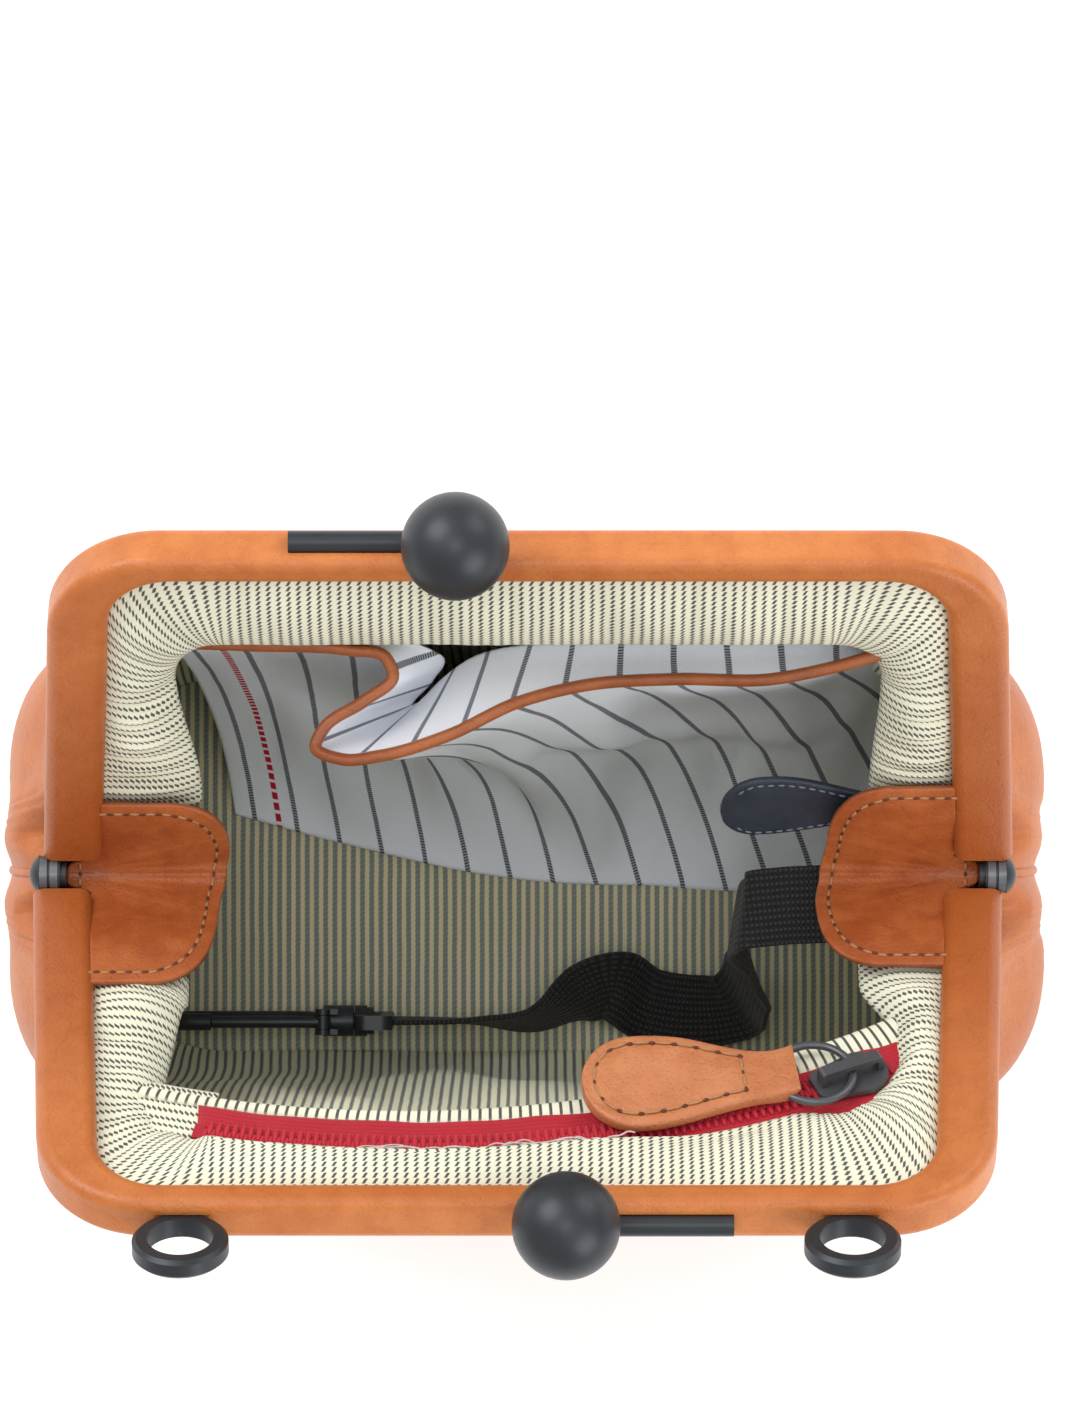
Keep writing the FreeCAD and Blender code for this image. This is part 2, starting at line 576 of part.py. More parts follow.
def slider_place():
    """The slider's own frame: X along the zip to the right, Y into its curve, Z off the tape."""
    angle = math.radians(rest_angle())
    out = Vector(math.sin(angle), 0, math.cos(angle))
    centre = Vector(number("zip_centre_offset"), -number("front_collar_setback"), -number("zip_centre_drop"))
    along = Vector(math.cos(angle), 0, -math.sin(angle))
    turn = Rotation(along, out, Y_AXIS, "ZXY")
    return half_place(FRONT).multiply(Placement(centre + out * number("zip_radius"), turn))


def slider_levels():
    """Heights of the slider's two plates and of its bridge above the tape's upper face."""
    throat = number("slider_throat")
    low = (number("tape_thickness") - throat) / 2 - number("tape_thickness")
    return low, low + throat


def slider_piece():
    """Two shield-shaped plates on a post, and the bridge that holds the pull ring."""
    low, high = slider_levels()
    half = number("slider_length") / 2
    wide = number("slider_width") / 2
    tail = number("slider_tail_width") / 2
    shoulder = half - wide
    outline = Part.Wire([
        Part.makeLine(Vector(-half, -tail, 0), Vector(shoulder, -wide, 0)),
        Part.Arc(Vector(shoulder, -wide, 0), Vector(half, 0, 0), Vector(shoulder, wide, 0)).toShape(),
        Part.makeLine(Vector(shoulder, wide, 0), Vector(-half, tail, 0)),
        Part.makeLine(Vector(-half, tail, 0), Vector(-half, -tail, 0)),
    ])
    plate = Part.Face(outline).extrude(Z_AXIS * number("slider_plate"))
    upright = [edge for edge in plate.Edges if runs_along(edge, Z_AXIS) and edge.CenterOfMass.x < -wide]
    plate = plate.makeFillet(number("slider_round"), upright)
    top = plate.translated(Z_AXIS * high)
    bottom = plate.translated(Z_AXIS * (low - number("slider_plate")))
    post = Part.makeBox(number("slider_post_length"), number("slider_post"), high - low,
                        Vector(shoulder, -number("slider_post") / 2, low))
    span = number("bridge_span")
    width = number("bridge_width")
    rise = number("bridge_height")
    bar = number("bridge_bar")
    base = high + number("slider_plate")
    bridge = Part.makeBox(span, width, rise, Vector(-span / 2, -width / 2, base))
    crown = [edge for edge in bridge.Edges if runs_along(edge, Y_AXIS) and edge.CenterOfMass.z > base]
    bridge = bridge.makeFillet(bar, crown)
    eye = Part.makeBox(span - 2 * bar, width, rise - bar, Vector(bar - span / 2, -width / 2, base))
    shape = top.fuse([bottom, post, bridge.cut(eye)]).removeSplitter()
    sub_part(solid("slider", shape), "zip_slider", slider_place())


def pull_axis_height():
    """Height of the pull ring's wire above the tape's face, lying in the bridge."""
    return slider_levels()[1] + number("slider_plate") + number("pull_wire_radius") + number("pull_lift")


def pull_pieces():
    """The pull ring through the bridge, and the leather tab whose neck loops round the ring."""
    radius = number("pull_ring_radius")
    pivot = Vector(number("bridge_bar") / 2, 0, pull_axis_height())
    place = slider_place().multiply(Placement(pivot, Rotation(Z_AXIS, number("pull_swing"))))
    ring_centre = Vector(-radius, 0, 0)
    ring = primitive("Torus", "pull_ring_torus", Radius1="Sizes.pull_ring_radius",
                     Radius2="Sizes.pull_wire_radius")
    sub_part(ring, "zip_pull_ring", place.multiply(Placement(ring_centre, Rotation())))
    loop = Vector(-radius, 0, 0)
    wide = number("tab_width") / 2
    narrow = number("tab_narrow_width") / 2
    neck = number("tab_neck_width") / 2
    thick = number("tab_thickness")
    shoulder = -number("tab_neck_length")
    end = shoulder - number("tab_length") + wide
    outline = Part.Wire([
        Part.makeLine(Vector(shoulder, -narrow, 0), Vector(shoulder, narrow, 0)),
        Part.makeLine(Vector(shoulder, narrow, 0), Vector(end, wide, 0)),
        Part.Arc(Vector(end, wide, 0), Vector(end - wide, 0, 0), Vector(end, -wide, 0)).toShape(),
        Part.makeLine(Vector(end, -wide, 0), Vector(shoulder, -narrow, 0)),
    ])
    leaf = Part.Face(outline).extrude(Z_AXIS * thick)
    leaf.translate(-Z_AXIS * thick / 2)
    loop_radius = number("tab_neck_thickness") / 2
    barrel = Part.makeCylinder(loop_radius, 2 * neck, Vector(0, -neck, 0), Y_AXIS)
    strap = Part.makeBox(-shoulder + narrow / 2, 2 * neck, thick,
                         Vector(shoulder - narrow / 2, -neck, -thick / 2))
    tunnel = Part.makeTorus(radius, number("tab_tunnel_radius"), -loop)
    shape = leaf.fuse([strap, barrel]).removeSplitter().cut(tunnel)
    sub_part(solid("pull_tab", shape), "zip_pull_tab",
             place.multiply(Placement(ring_centre + loop, Rotation())))


def rounded_level(half_width, half_depth, corner, height):
    """A level outline of the body: a rectangle with round corners, as four lines and four arcs."""
    straight = half_width - corner
    flat = half_depth - corner
    slant = corner * math.sqrt(2) / 2
    edges = []
    turns = ((1, -1), (1, 1), (-1, 1), (-1, -1))
    for index, (east, north) in enumerate(turns):
        middle = Vector(east * straight, north * flat, height)
        to_side = Vector(east * half_width, north * flat, height)
        to_face = Vector(east * straight, north * half_depth, height)
        first, last = (to_face, to_side) if east == -north else (to_side, to_face)
        bend = middle + Vector(east * slant, north * slant, 0)
        edges.append(Part.Arc(first, bend, last).toShape())
        following = turns[(index + 1) % len(turns)]
        ahead = Vector(following[0] * straight, following[1] * half_depth, height)
        if following[0] == east:
            ahead = Vector(following[0] * half_width, following[1] * flat, height)
        edges.append(Part.makeLine(last, ahead))
    return Part.Wire(edges)


def level_loft(levels, inset, lift):
    """A solid through the named levels, drawn in by an inset, its lowest level lifted."""
    wires = []
    for index, (level, height) in enumerate(levels):
        wires.append(rounded_level(number(level + "_half_width") - inset,
                                   number(level + "_half_depth") - inset,
                                   number(level + "_corner") - inset,
                                   height + (lift if index == 0 else 0)))
    return Part.makeLoft(wires, True, False)


def half_region(side, setback):
    """The space of the front or rear half, below the plane that lies a setback behind its mating plane."""
    angle = math.radians(number("open_angle"))
    far = 2 * number("brim_half_depth")
    wide = number("belly_half_width") + number("overrun")
    near = number("seam_gap") / 2
    hinge = number("hinge_height")
    slope = 1 / math.tan(angle)
    drop = setback / math.sin(angle)
    corners = [Vector(-wide, -side * near, -number("overrun")), Vector(-wide, -side * far, -number("overrun")),
               Vector(-wide, -side * far, hinge + far * slope - drop),
               Vector(-wide, -side * near, hinge + near * slope - drop)]
    return Part.Face(Part.makePolygon(corners + corners[:1])).extrude(X_AXIS * 2 * wide)


def level_height(name):
    """A level's height: set from the floor, or from the hinge by a rise or a drop."""
    if name + "_height" in SIZES:
        return number(name + "_height")
    hinge = number("hinge_height")
    if name + "_rise" in SIZES:
        return hinge + number(name + "_rise")
    return hinge - (number(name + "_drop") if name + "_drop" in SIZES else 0)


def leather_body():
    """Front and rear panels of the outer body, cut along the casings' backs, and the base panel."""
    names = ("heel", "flank", "belly", "waist", "hip", "shoulder", "yoke", "brim")
    levels = [("base", 0)] + [(name, level_height(name)) for name in names]
    wall = number("leather_thickness")
    shell = level_loft(levels, 0, 0).cut(level_loft(levels, wall, 0))
    for side, side_name in ((FRONT, "front"), (REAR, "rear")):
        panel = shell.common(half_region(side, number("plane_setback")))
        sub_part(solid(side_name + "_leather", panel), side_name + "_panel")
    edge = wall + number("seam_gap")
    base = Part.Face(rounded_level(number("base_half_width") - edge, number("base_half_depth") - edge,
                                   number("base_corner") - edge, 0)).extrude(Z_AXIS * wall)
    sub_part(solid("base_leather", base), "base_panel")


def lining():
    """Front and rear lining: one thin bowl with a floor, cut in two and along the collars."""
    names = ("foot", "bowl", "neck", "lip", "mouth")
    levels = [("floor", number("floor_lift"))] + [(name, level_height(name)) for name in names]
    thin = number("lining_thickness")
    bowl = level_loft(levels, 0, 0).cut(level_loft(levels, thin, thin))
    for side, side_name in ((FRONT, "front"), (REAR, "rear")):
        setback = number("front_lining_setback" if side == FRONT else "lining_setback")
        cloth = bowl.common(half_region(side, setback))
        sub_part(solid(side_name + "_cloth", cloth), side_name + "_lining")


def wing(side, setback, thickness, reach, left, right):
    """A slab that lies along a frame half's plane, below it by a setback, out to a reach."""
    slab = Part.makeBox(right - left, thickness, reach, Vector(left, -setback - thickness, 0))
    turn = Rotation(X_AXIS, number("open_angle"))
    slab.Placement = Placement(Vector(0, 0, number("hinge_height")), turn)
    return slab if side == FRONT else slab.mirror(Vector(), Y_AXIS)


def patches():
    """D-shaped leather patches over the side gussets, bent along both halves, with a tongue outward."""
    setback = number("patch_setback")
    thick = number("patch_thickness")
    reach = number("patch_reach")
    inner = number("patch_inner")
    outer = number("patch_outer")
    angle = math.radians(number("open_angle"))
    hinge = number("hinge_height")
    half_span = reach * math.sin(angle)
    corner = half_span
    for hand, name in ((-1, "gusset_patch_left"), (1, "gusset_patch_right")):
        left, right = (inner, outer) if hand > 0 else (-outer, -inner)
        wings = wing(FRONT, setback, thick, reach, left, right)
        wings = wings.fuse(wing(REAR, setback, thick, reach, left, right))
        trough = Part.makeCylinder(setback + thick, right - left, Vector(left, 0, hinge), X_AXIS)
        hollow = Part.makeCylinder(setback, right - left, Vector(left, 0, hinge), X_AXIS)
        below = Part.makeBox(right - left, 2 * half_span, reach, Vector(left, -half_span, hinge - reach))
        wings = wings.fuse(trough.cut(hollow).common(below))
        outline = Part.makeBox(outer - inner, 2 * half_span, 2 * reach,
                               Vector(left, -half_span, hinge - reach))
        round_side = inner * hand
        rims = [edge for edge in outline.Edges
                if runs_along(edge, Z_AXIS)
                and abs(edge.CenterOfMass.x - round_side) < number("running_clearance")]
        outline = outline.makeFillet(corner - number("seam_gap"), rims)
        tongue_start = outer - number("tongue_half_width")
        tongue = Part.makeBox(number("tongue_end") - tongue_start, 2 * number("tongue_half_width"), thick,
                              Vector(tongue_start, -number("tongue_half_width"),
                                     hinge - number("tongue_drop") - thick))
        if hand < 0:
            tongue = tongue.mirror(Vector(), X_AXIS)
        shape = wings.common(outline).fuse(tongue).removeSplitter()
        sub_part(solid(name + "_leather", shape), name)


def side_tab():
    """A stitched tab that comes out from under the right patch along the rear half's plane."""
    start = number("side_tab_place")
    width = number("side_tab_width")
    reach = number("side_tab_reach")
    slab = Part.makeBox(number("side_tab_length"), number("side_tab_thickness"), width,
                        Vector(start, number("side_tab_setback"), reach - width))
    rims = [edge for edge in slab.Edges
            if runs_along(edge, Y_AXIS) and edge.CenterOfMass.x < start + number("running_clearance")]
    slab = slab.makeFillet(width / 2 - number("seam_gap"), rims)
    place = Placement(Vector(0, 0, number("hinge_height")), Rotation(X_AXIS, -number("open_angle")))
    sub_part(solid("tab_leather", slab), "side_tab", place)


def zip_bag():
    """The flat cloth bag of the zip pocket, between the front lining and the front panel."""
    half = number("bag_half_width")
    low = number("hinge_height") - number("bag_drop")
    slab = Part.makeBox(2 * half, number("bag_thickness"), number("bag_drop") + number("bag_rise"),
                        Vector(-half, -number("bag_setback"), low))
    rims = [edge for edge in slab.Edges if runs_along(edge, Y_AXIS)]
    sub_part(solid("zip_bag", slab.makeFillet(number("bag_round"), rims)), "zip_pocket_bag")


def ribbon(points, thickness):
    """A closed outline along a smooth line through points in a level plane: out one side, back the other."""
    line = Part.BSplineCurve()
    line.interpolate(points)
    span = line.LastParameter - line.FirstParameter
    left = []
    right = []
    for index in range(RIBBON_STEPS + 1):
        place = line.FirstParameter + span * index / RIBBON_STEPS
        across = Z_AXIS.cross(Vector(*line.tangent(place)[0])) * (thickness / 2)
        left.append(line.value(place) + across)
        right.insert(0, line.value(place) - across)
    return Part.makePolygon(left + right + left[:1])


def pocket_line(shares, height):
    """The pocket's line at a height, from shares of its half width and depth."""
    half = number("pocket_half_width")
    return [Vector(across * half, back * number("pocket_depth"), height) for across, back in shares]


def slip_pocket():
    """The slip pocket's cloth, folded at its mouth and smooth at its seam, and its leather binding."""
    low = number("pocket_floor")
    high = number("hinge_height") + number("pocket_rise")
    thick = number("pocket_thickness")
    cloth = Part.makeLoft([ribbon(pocket_line(SEAM_SHARES, low), thick),
                           ribbon(pocket_line(MOUTH_SHARES, high), thick)], True, True)
    sub_part(solid("pocket_cloth", cloth), "slip_pocket")
    trim = Part.Face(ribbon(pocket_line(MOUTH_SHARES, high), number("binding_thickness")))
    sub_part(solid("pocket_trim", trim.extrude(Z_AXIS * number("binding_width"))), "pocket_binding")


def leash():
    """The webbing: a flat strap through the stations of its route."""
    wires = []
    span = number("leash_span")
    places = [Vector(*place) * span + Z_AXIS * (lift * number("hinge_height"))
              for place, lift, _ in LEASH_SHARES]
    for index, (_, _, way) in enumerate(LEASH_SHARES):
        along = places[min(index + 1, len(places) - 1)] - places[max(index - 1, 0)]
        across = Vector(*way)
        across = (across - along * (across.dot(along) / along.dot(along))).normalize()
        out = along.cross(across).normalize()
        side = across * (number("webbing_width") / 2)
        face = out * (number("webbing_thickness") / 2)
        centre = places[index]
        corners = [centre + side + face, centre - side + face, centre - side - face, centre + side - face]
        wires.append(Part.makePolygon(corners + corners[:1]))
    sub_part(solid("webbing", Part.makeLoft(wires, True, True)), "leash_webbing")


def hook_origin():
    """Where the hook's swivel axis passes the leash's end; X runs on towards the hook's bow."""
    return Placement(Vector(number("eye_start"), number("hook_place"), number("hook_height")),
                     Rotation(Y_AXIS, HALF_TURN))


def hook_stations():
    """Places along the hook's axis: the loop's near bar, the barrel's ends, the bow's centre."""
    near = number("loop_length") - number("loop_bar")
    barrel = number("loop_length") + number("barrel_gap")
    barrel_end = barrel + number("barrel_length")
    return near, barrel, barrel_end, barrel_end + number("hook_length") - number("hook_bow_radius")


def swivel_loop():
    """The upright loop at the leash's end, bored for the hook's post."""
    length = number("loop_length")
    height = number("loop_height")
    depth = number("loop_depth")
    bar = number("loop_bar")
    loop = Part.makeBox(length, depth, height, Vector(0, -depth / 2, -height / 2))
    rims = [edge for edge in loop.Edges if runs_along(edge, Y_AXIS)]
    loop = loop.makeFillet(bar - number("seam_gap"), rims)
    window = Part.makeBox(length - 2 * bar, depth, height - 2 * bar,
                          Vector(bar, -depth / 2, bar - height / 2))
    boss = Part.makeCylinder(number("barrel_radius"), bar, Vector(length - bar, 0, 0), X_AXIS)
    bore = Part.makeCylinder(number("post_radius") + number("running_clearance"), length, Vector(), X_AXIS)
    near_bar = Part.makeBox(bar, depth, height, Vector(0, -depth / 2, -height / 2))
    loop = loop.cut(window).fuse(boss).cut(bore.cut(near_bar)).removeSplitter()
    sub_part(solid("loop", loop), "hook_swivel_loop", hook_origin())


def gate_pin_place():
    """The gate pin's place beside the barrel's end, level with the hook's nose."""
    return Vector(hook_stations()[2], 0, -number("hook_bow_radius"))


def hook_piece():
    """The hook: headed post, barrel with two cheeks for the gate, and a bow of round wire."""
    near, barrel, barrel_end, bow = hook_stations()
    head = number("post_head_length")
    rest = number("running_clearance")
    post = Part.makeCylinder(number("post_radius"), barrel - near + head + rest,
                             Vector(near - head - rest, 0, 0), X_AXIS)
    cap = Part.makeCylinder(number("post_head_radius"), head, Vector(near - head - rest, 0, 0), X_AXIS)
    body = Part.makeCylinder(number("barrel_radius"), number("barrel_length"), Vector(barrel, 0, 0), X_AXIS)
    rise = number("hook_bow_radius")
    wire = number("hook_wire_radius")
    start = Vector(barrel_end - number("barrel_radius"), 0, 0)
    knee = Vector(barrel_end + rise, 0, rise)
    end = Vector(bow, 0, rise)
    tip = Vector(bow - number("hook_nose"), 0, -rise)
    path = Part.Wire([Part.makeLine(start, knee), Part.makeLine(knee, end),
                      Part.Arc(end, Vector(bow + rise, 0, 0), Vector(bow, 0, -rise)).toShape(),
                      Part.makeLine(Vector(bow, 0, -rise), tip)])
    section = Part.Wire(Part.makeCircle(wire, start, knee - start))
    bent = path.makePipeShell([section], True, False, 2)
    pin = gate_pin_place()
    eye = number("gate_eye_radius")
    cheeks = []
    for hand in (-1, 1):
        edge = number("cheek_gap") if hand > 0 else -number("cheek_gap") - number("cheek_thickness")
        cheek = Part.makeCylinder(eye, number("cheek_thickness"), pin + Y_AXIS * edge, Y_AXIS)
        web = Part.makeBox(2 * eye, number("cheek_thickness"), rise, pin + Vector(-2 * eye, edge, 0))
        cheeks.extend([cheek, web])
    bore = Part.makeCylinder(number("gate_pin_radius"), 2 * number("barrel_radius"),
                             pin - Y_AXIS * number("barrel_radius"), Y_AXIS)
    shape = body.fuse([post, cap, bent, *cheeks]).cut(bore).removeSplitter()
    sub_part(solid("hook", shape), "snap_hook", hook_origin())
    half = number("cheek_gap") + number("cheek_thickness")
    rivet = Part.makeCylinder(number("gate_pin_radius"), 2 * half, pin - Y_AXIS * half, Y_AXIS)
    sub_part(solid("gate_pin", rivet), "hook_gate_pin", hook_origin())


def gate_piece():
    """The sprung gate: an eye on the pin and a straight bar to the hook's nose."""
    pin = gate_pin_place()
    half = number("cheek_gap") - number("slot_clearance")
    eye = Part.makeCylinder(number("gate_eye_radius"), 2 * half, pin - Y_AXIS * half, Y_AXIS)
    reach = hook_stations()[3] - number("hook_nose") - number("seat_clearance") - pin.x
    bar = Part.makeCylinder(number("gate_radius"), reach, pin, X_AXIS)
    bore = Part.makeCylinder(number("gate_pin_radius") + number("running_clearance"), 2 * half,
                             pin - Y_AXIS * half, Y_AXIS)
    sub_part(solid("gate", eye.fuse(bar).cut(bore).removeSplitter()), "hook_gate", hook_origin())


def write_parts():
    """Check every object, then write each sub-part to its file."""
    doc.recompute()
    for item in doc.Objects:
        if "Invalid" in item.State or "Error" in item.State:
            raise RuntimeError(f"{item.Label} failed: {item.State}")
    for item in parts:
        if item.Shape.isNull() or not item.Shape.isValid() or not item.Shape.Solids:
            raise RuntimeError(f"{item.Label} has no valid solid")
    os.makedirs("parts", exist_ok=True)
    for item in parts:
        item.Shape.exportStep(f"parts/{item.Label}.step")


frame_half("front", FRONT)
frame_half("rear", REAR)
hinge_stack()
rings()
collars()
zip_parts()
slider_piece()
pull_pieces()
leather_body()
lining()
patches()
side_tab()
zip_bag()
slip_pocket()
leash()
swivel_loop()
hook_piece()
gate_piece()
write_parts()
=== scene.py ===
import json
import math

import bmesh
import bpy
import numpy as np
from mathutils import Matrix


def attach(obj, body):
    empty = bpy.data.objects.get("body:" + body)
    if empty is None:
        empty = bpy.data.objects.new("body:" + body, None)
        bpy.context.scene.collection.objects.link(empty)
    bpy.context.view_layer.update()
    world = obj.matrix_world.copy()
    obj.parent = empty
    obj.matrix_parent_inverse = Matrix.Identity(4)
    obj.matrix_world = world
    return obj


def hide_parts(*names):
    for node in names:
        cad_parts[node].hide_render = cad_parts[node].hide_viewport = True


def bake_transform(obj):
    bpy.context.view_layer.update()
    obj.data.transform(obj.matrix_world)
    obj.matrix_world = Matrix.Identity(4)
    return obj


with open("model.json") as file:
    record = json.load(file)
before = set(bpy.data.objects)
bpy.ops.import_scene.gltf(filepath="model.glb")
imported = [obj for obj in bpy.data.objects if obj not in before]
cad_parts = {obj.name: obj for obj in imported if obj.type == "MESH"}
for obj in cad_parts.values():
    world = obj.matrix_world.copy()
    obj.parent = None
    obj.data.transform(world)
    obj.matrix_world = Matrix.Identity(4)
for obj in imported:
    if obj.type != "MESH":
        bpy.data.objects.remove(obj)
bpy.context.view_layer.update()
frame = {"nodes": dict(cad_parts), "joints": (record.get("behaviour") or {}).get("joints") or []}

# Sizes in millimetres, as in the part: meshes are scaled to metres when they are made.
MM = 0.001
HINGE = 78.0
LEAN = math.radians(42)
SHIFT = 1.0
REACH = 85.0
TOP_HALF = 85.5
TAPER = 6.0 / 85.0
ZIP_CENTRE = -18.9
ZIP_DROP = 132.0
ZIP_RADIUS = 198.0
FRONT = 1
REAR = -1
SIDE_SHARE = 0.22
BEND_SHARE = 0.34
TURN = 2 * math.pi
UPRIGHT = np.array([0, 0, 1.0])
HALF_WORD = {FRONT: "front", REAR: "rear"}


# Geometry on the frame halves

def on_half(side, across, reach, depth):
    """Point on a leaning frame half: across is X, reach runs up along the legs, depth goes behind
    the mating plane; both are turned by the lean about the hinge axis."""
    across, reach, depth = np.broadcast_arrays(*(np.asarray(v, float) for v in (across, reach, depth)))
    out = depth * math.cos(LEAN) + reach * math.sin(LEAN)
    up = reach * math.cos(LEAN) - depth * math.sin(LEAN)
    return np.stack([across - side * SHIFT, -side * out, HINGE + up], axis=-1)


def face_up(side):
    """Direction that stands off the open face of a frame half."""
    return on_half(side, 0, 0, -1) - on_half(side, 0, 0, 0)


def half_outline(u, width, depth, corner):
    """Half a rounded rectangle from (-width, 0) round to (width, 0): straight side, a quadratic
    curve of the corner's size, straight front, and the same mirrored."""
    m = np.minimum(u, 1 - u)
    along = np.clip(m / SIDE_SHARE, 0, 1)
    turn = np.clip((m - SIDE_SHARE) / (BEND_SHARE - SIDE_SHARE), 0, 1)
    run = np.clip((m - BEND_SHARE) / (0.5 - BEND_SHARE), 0, 1)
    x = -width + corner * turn**2 + (width - corner) * run
    out = (depth - corner) * along + corner * (2 * turn - turn**2)
    return np.where(u > 0.5, -x, x), out


def bow(u, leg_inset, bar_inset, corner, start):
    """Across and reach along a bow inside the frame half's outline, from a start reach up one leg,
    along the bar and down the other; the legs spread by the taper."""
    width = TOP_HALF - leg_inset
    x, out = half_outline(u, width, REACH - bar_inset - start, corner)
    reach = start + out
    return x * (1 + TAPER * (REACH - reach) / width), reach


def zip_reach(x, radius):
    """Reach of an arc about the zip's centre at a place across."""
    return np.sqrt(np.maximum(radius**2 - (x - ZIP_CENTRE) ** 2, 0)) - ZIP_DROP


def on_zip(angle, radius, depth):
    """Point at an angle from upright and a radius about the zip's centre, in the front half."""
    return on_half(FRONT, ZIP_CENTRE + radius * np.sin(angle), radius * np.cos(angle) - ZIP_DROP, depth)


def curve(x, knots, values):
    """Smooth curve through knots: cubic Hermite pieces with the slopes of the neighbouring chords."""
    knots, values = np.asarray(knots, float), np.asarray(values, float)
    slopes = np.gradient(values, knots)
    x = np.clip(x, knots[0], knots[-1])
    i = np.clip(np.searchsorted(knots, x, side="right") - 1, 0, len(knots) - 2)
    h = knots[i + 1] - knots[i]
    t = (x - knots[i]) / h
    return ((2 * t**3 - 3 * t**2 + 1) * values[i] + (t**3 - 2 * t**2 + t) * h * slopes[i]
            + (3 * t**2 - 2 * t**3) * values[i + 1] + (t**3 - t**2) * h * slopes[i + 1])


def spline(values, run, count):
    """Smooth line through rows of values at running lengths: cubic Hermite pieces, at even steps."""
    at = np.linspace(0, run[-1], count)
    return np.stack([curve(at, run, column) for column in values.T], axis=-1)


def smooth(x, low, high):
    """Smooth step from 0 at low to 1 at high."""
    t = np.clip((x - low) / (high - low), 0, 1)
    return t * t * (3 - 2 * t)


def ripple(a, b, waves):
    """Sum of sine waves of (turns along a, turns along b, phase, height)."""
    return sum(height * np.sin(TURN * (p * a + q * b) + phase) for p, q, phase, height in waves)


def grid(rows, columns):
    """Two shares from 0 to 1, down the rows and along the columns of a grid."""
    return np.meshgrid(np.linspace(0, 1, rows), np.linspace(0, 1, columns), indexing="ij")


def unit(v):
    """Vectors at length one."""
    return v / np.maximum(np.linalg.norm(v, axis=-1, keepdims=True), 1e-12)


def lengths(points, axis):
    """Running length along an axis of a grid of points, from zero."""
    steps = np.linalg.norm(np.diff(points, axis=axis), axis=-1)
    pad = [(1, 0) if k == axis else (0, 0) for k in range(steps.ndim)]
    return np.cumsum(np.pad(steps, pad), axis=axis)


# Meshes

def make(name, points, faces, finish, uv=None):
    """Mesh object from points in millimetres, faces, and one UV pair for each point, also in
    millimetres; its faces are turned outwards and shaded smooth."""
    mesh = bpy.data.meshes.new(name)
    mesh.from_pydata((np.asarray(points).reshape(-1, 3) * MM).tolist(), [], faces)
    if uv is not None:
        layer = mesh.uv_layers.new(name="UVMap")
        index = np.zeros(len(mesh.loops), np.int32)
        mesh.loops.foreach_get("vertex_index", index)
        flat = np.asarray(uv, np.float32).reshape(-1, 2) * MM
        layer.data.foreach_set("uv", flat[index].ravel())
    shape = bmesh.new()
    shape.from_mesh(mesh)
    bmesh.ops.recalc_face_normals(shape, faces=shape.faces)
    shape.to_mesh(mesh)
    shape.free()
    mesh.polygons.foreach_set("use_smooth", np.ones(len(mesh.polygons), bool))
    mesh.materials.append(finish)
    piece = bpy.data.objects.new(name, mesh)
    bpy.context.scene.collection.objects.link(piece)
    return piece


def quads(index, close_columns=False):
    """Quads of a grid of point numbers, its last column joined to the first where asked."""
    if close_columns:
        index = np.concatenate([index, index[:, :1]], axis=1)
    corners = [index[:-1, :-1], index[1:, :-1], index[1:, 1:], index[:-1, 1:]]
    return np.stack(corners, axis=-1).reshape(-1, 4).tolist()


def capped(index):
    """Faces of a closed tube of point numbers: quads round it and one face over each end."""
    return quads(index, close_columns=True) + [index[0].tolist(), index[-1].tolist()]


def border(index):
    """Point numbers round the edge of a grid."""
    return np.concatenate([index[0, :-1], index[:-1, -1], index[-1, :0:-1], index[:0:-1, 0]])


def normals(top):
    """Unit normals of a grid of points, from its two directions."""
    return unit(np.cross(np.gradient(top, axis=0), np.gradient(top, axis=1)))


def cloth(name, top, thickness, finish, uv=None, rim_share=0.4):
    """Closed sheet: the top grid, the same grid set back along its normals, and a rim between
    them; the sheet thins to the rim's share at its edge."""
    rows, columns = top.shape[:2]
    thick = np.full((rows, columns), float(thickness))
    thick[[0, -1], :] *= rim_share
    thick[1:-1, [0, -1]] *= rim_share
    centre = top - normals(top) * thickness / 2
    half = normals(top) * thick[..., None] / 2
    index = np.arange(rows * columns).reshape(rows, columns)
    edge = border(index)
    after = np.roll(edge, -1)
    size = rows * columns
    faces = quads(index) + quads(index[:, ::-1] + size)
    faces += np.stack([edge, after, after + size, edge + size], axis=-1).tolist()
    if uv is not None:
        uv = np.concatenate([uv.reshape(-1, 2)] * 2)
    return make(name, np.concatenate([(centre + half).reshape(-1, 3), (centre - half).reshape(-1, 3)]),
                faces, finish, uv)


def sweep(name, path, across, up, profile, finish):
    """Closed profile (pairs across and up) carried along a path; the ends are capped. UV is the
    length along the path and round the profile."""
    up = np.broadcast_to(up, path.shape)
    points = path[:, None] + profile[:, :, 0, None] * across[:, None] + profile[:, :, 1, None] * up[:, None]
    rows, columns = points.shape[:2]
    index = np.arange(rows * columns).reshape(rows, columns)
    run = np.repeat(lengths(path, 0)[:, None], columns, axis=1)
    round_it = np.repeat(lengths(profile[0], 0)[None], rows, axis=0)
    return make(name, points, capped(index), finish, np.stack([run, round_it], axis=-1))


def signed_power(v, power):
    """Power of a number's size, with the number's own sign."""
    return np.sign(v) * np.abs(v) ** power


def ellipse(width, height, count=12, power=1.0):
    """Profile of an ellipse with half sizes; a power under 1 squares it off."""
    angle = np.linspace(0, TURN, count, endpoint=False)
    return np.stack([width * signed_power(np.cos(angle), power),
                     height * signed_power(np.sin(angle), power)], -1)


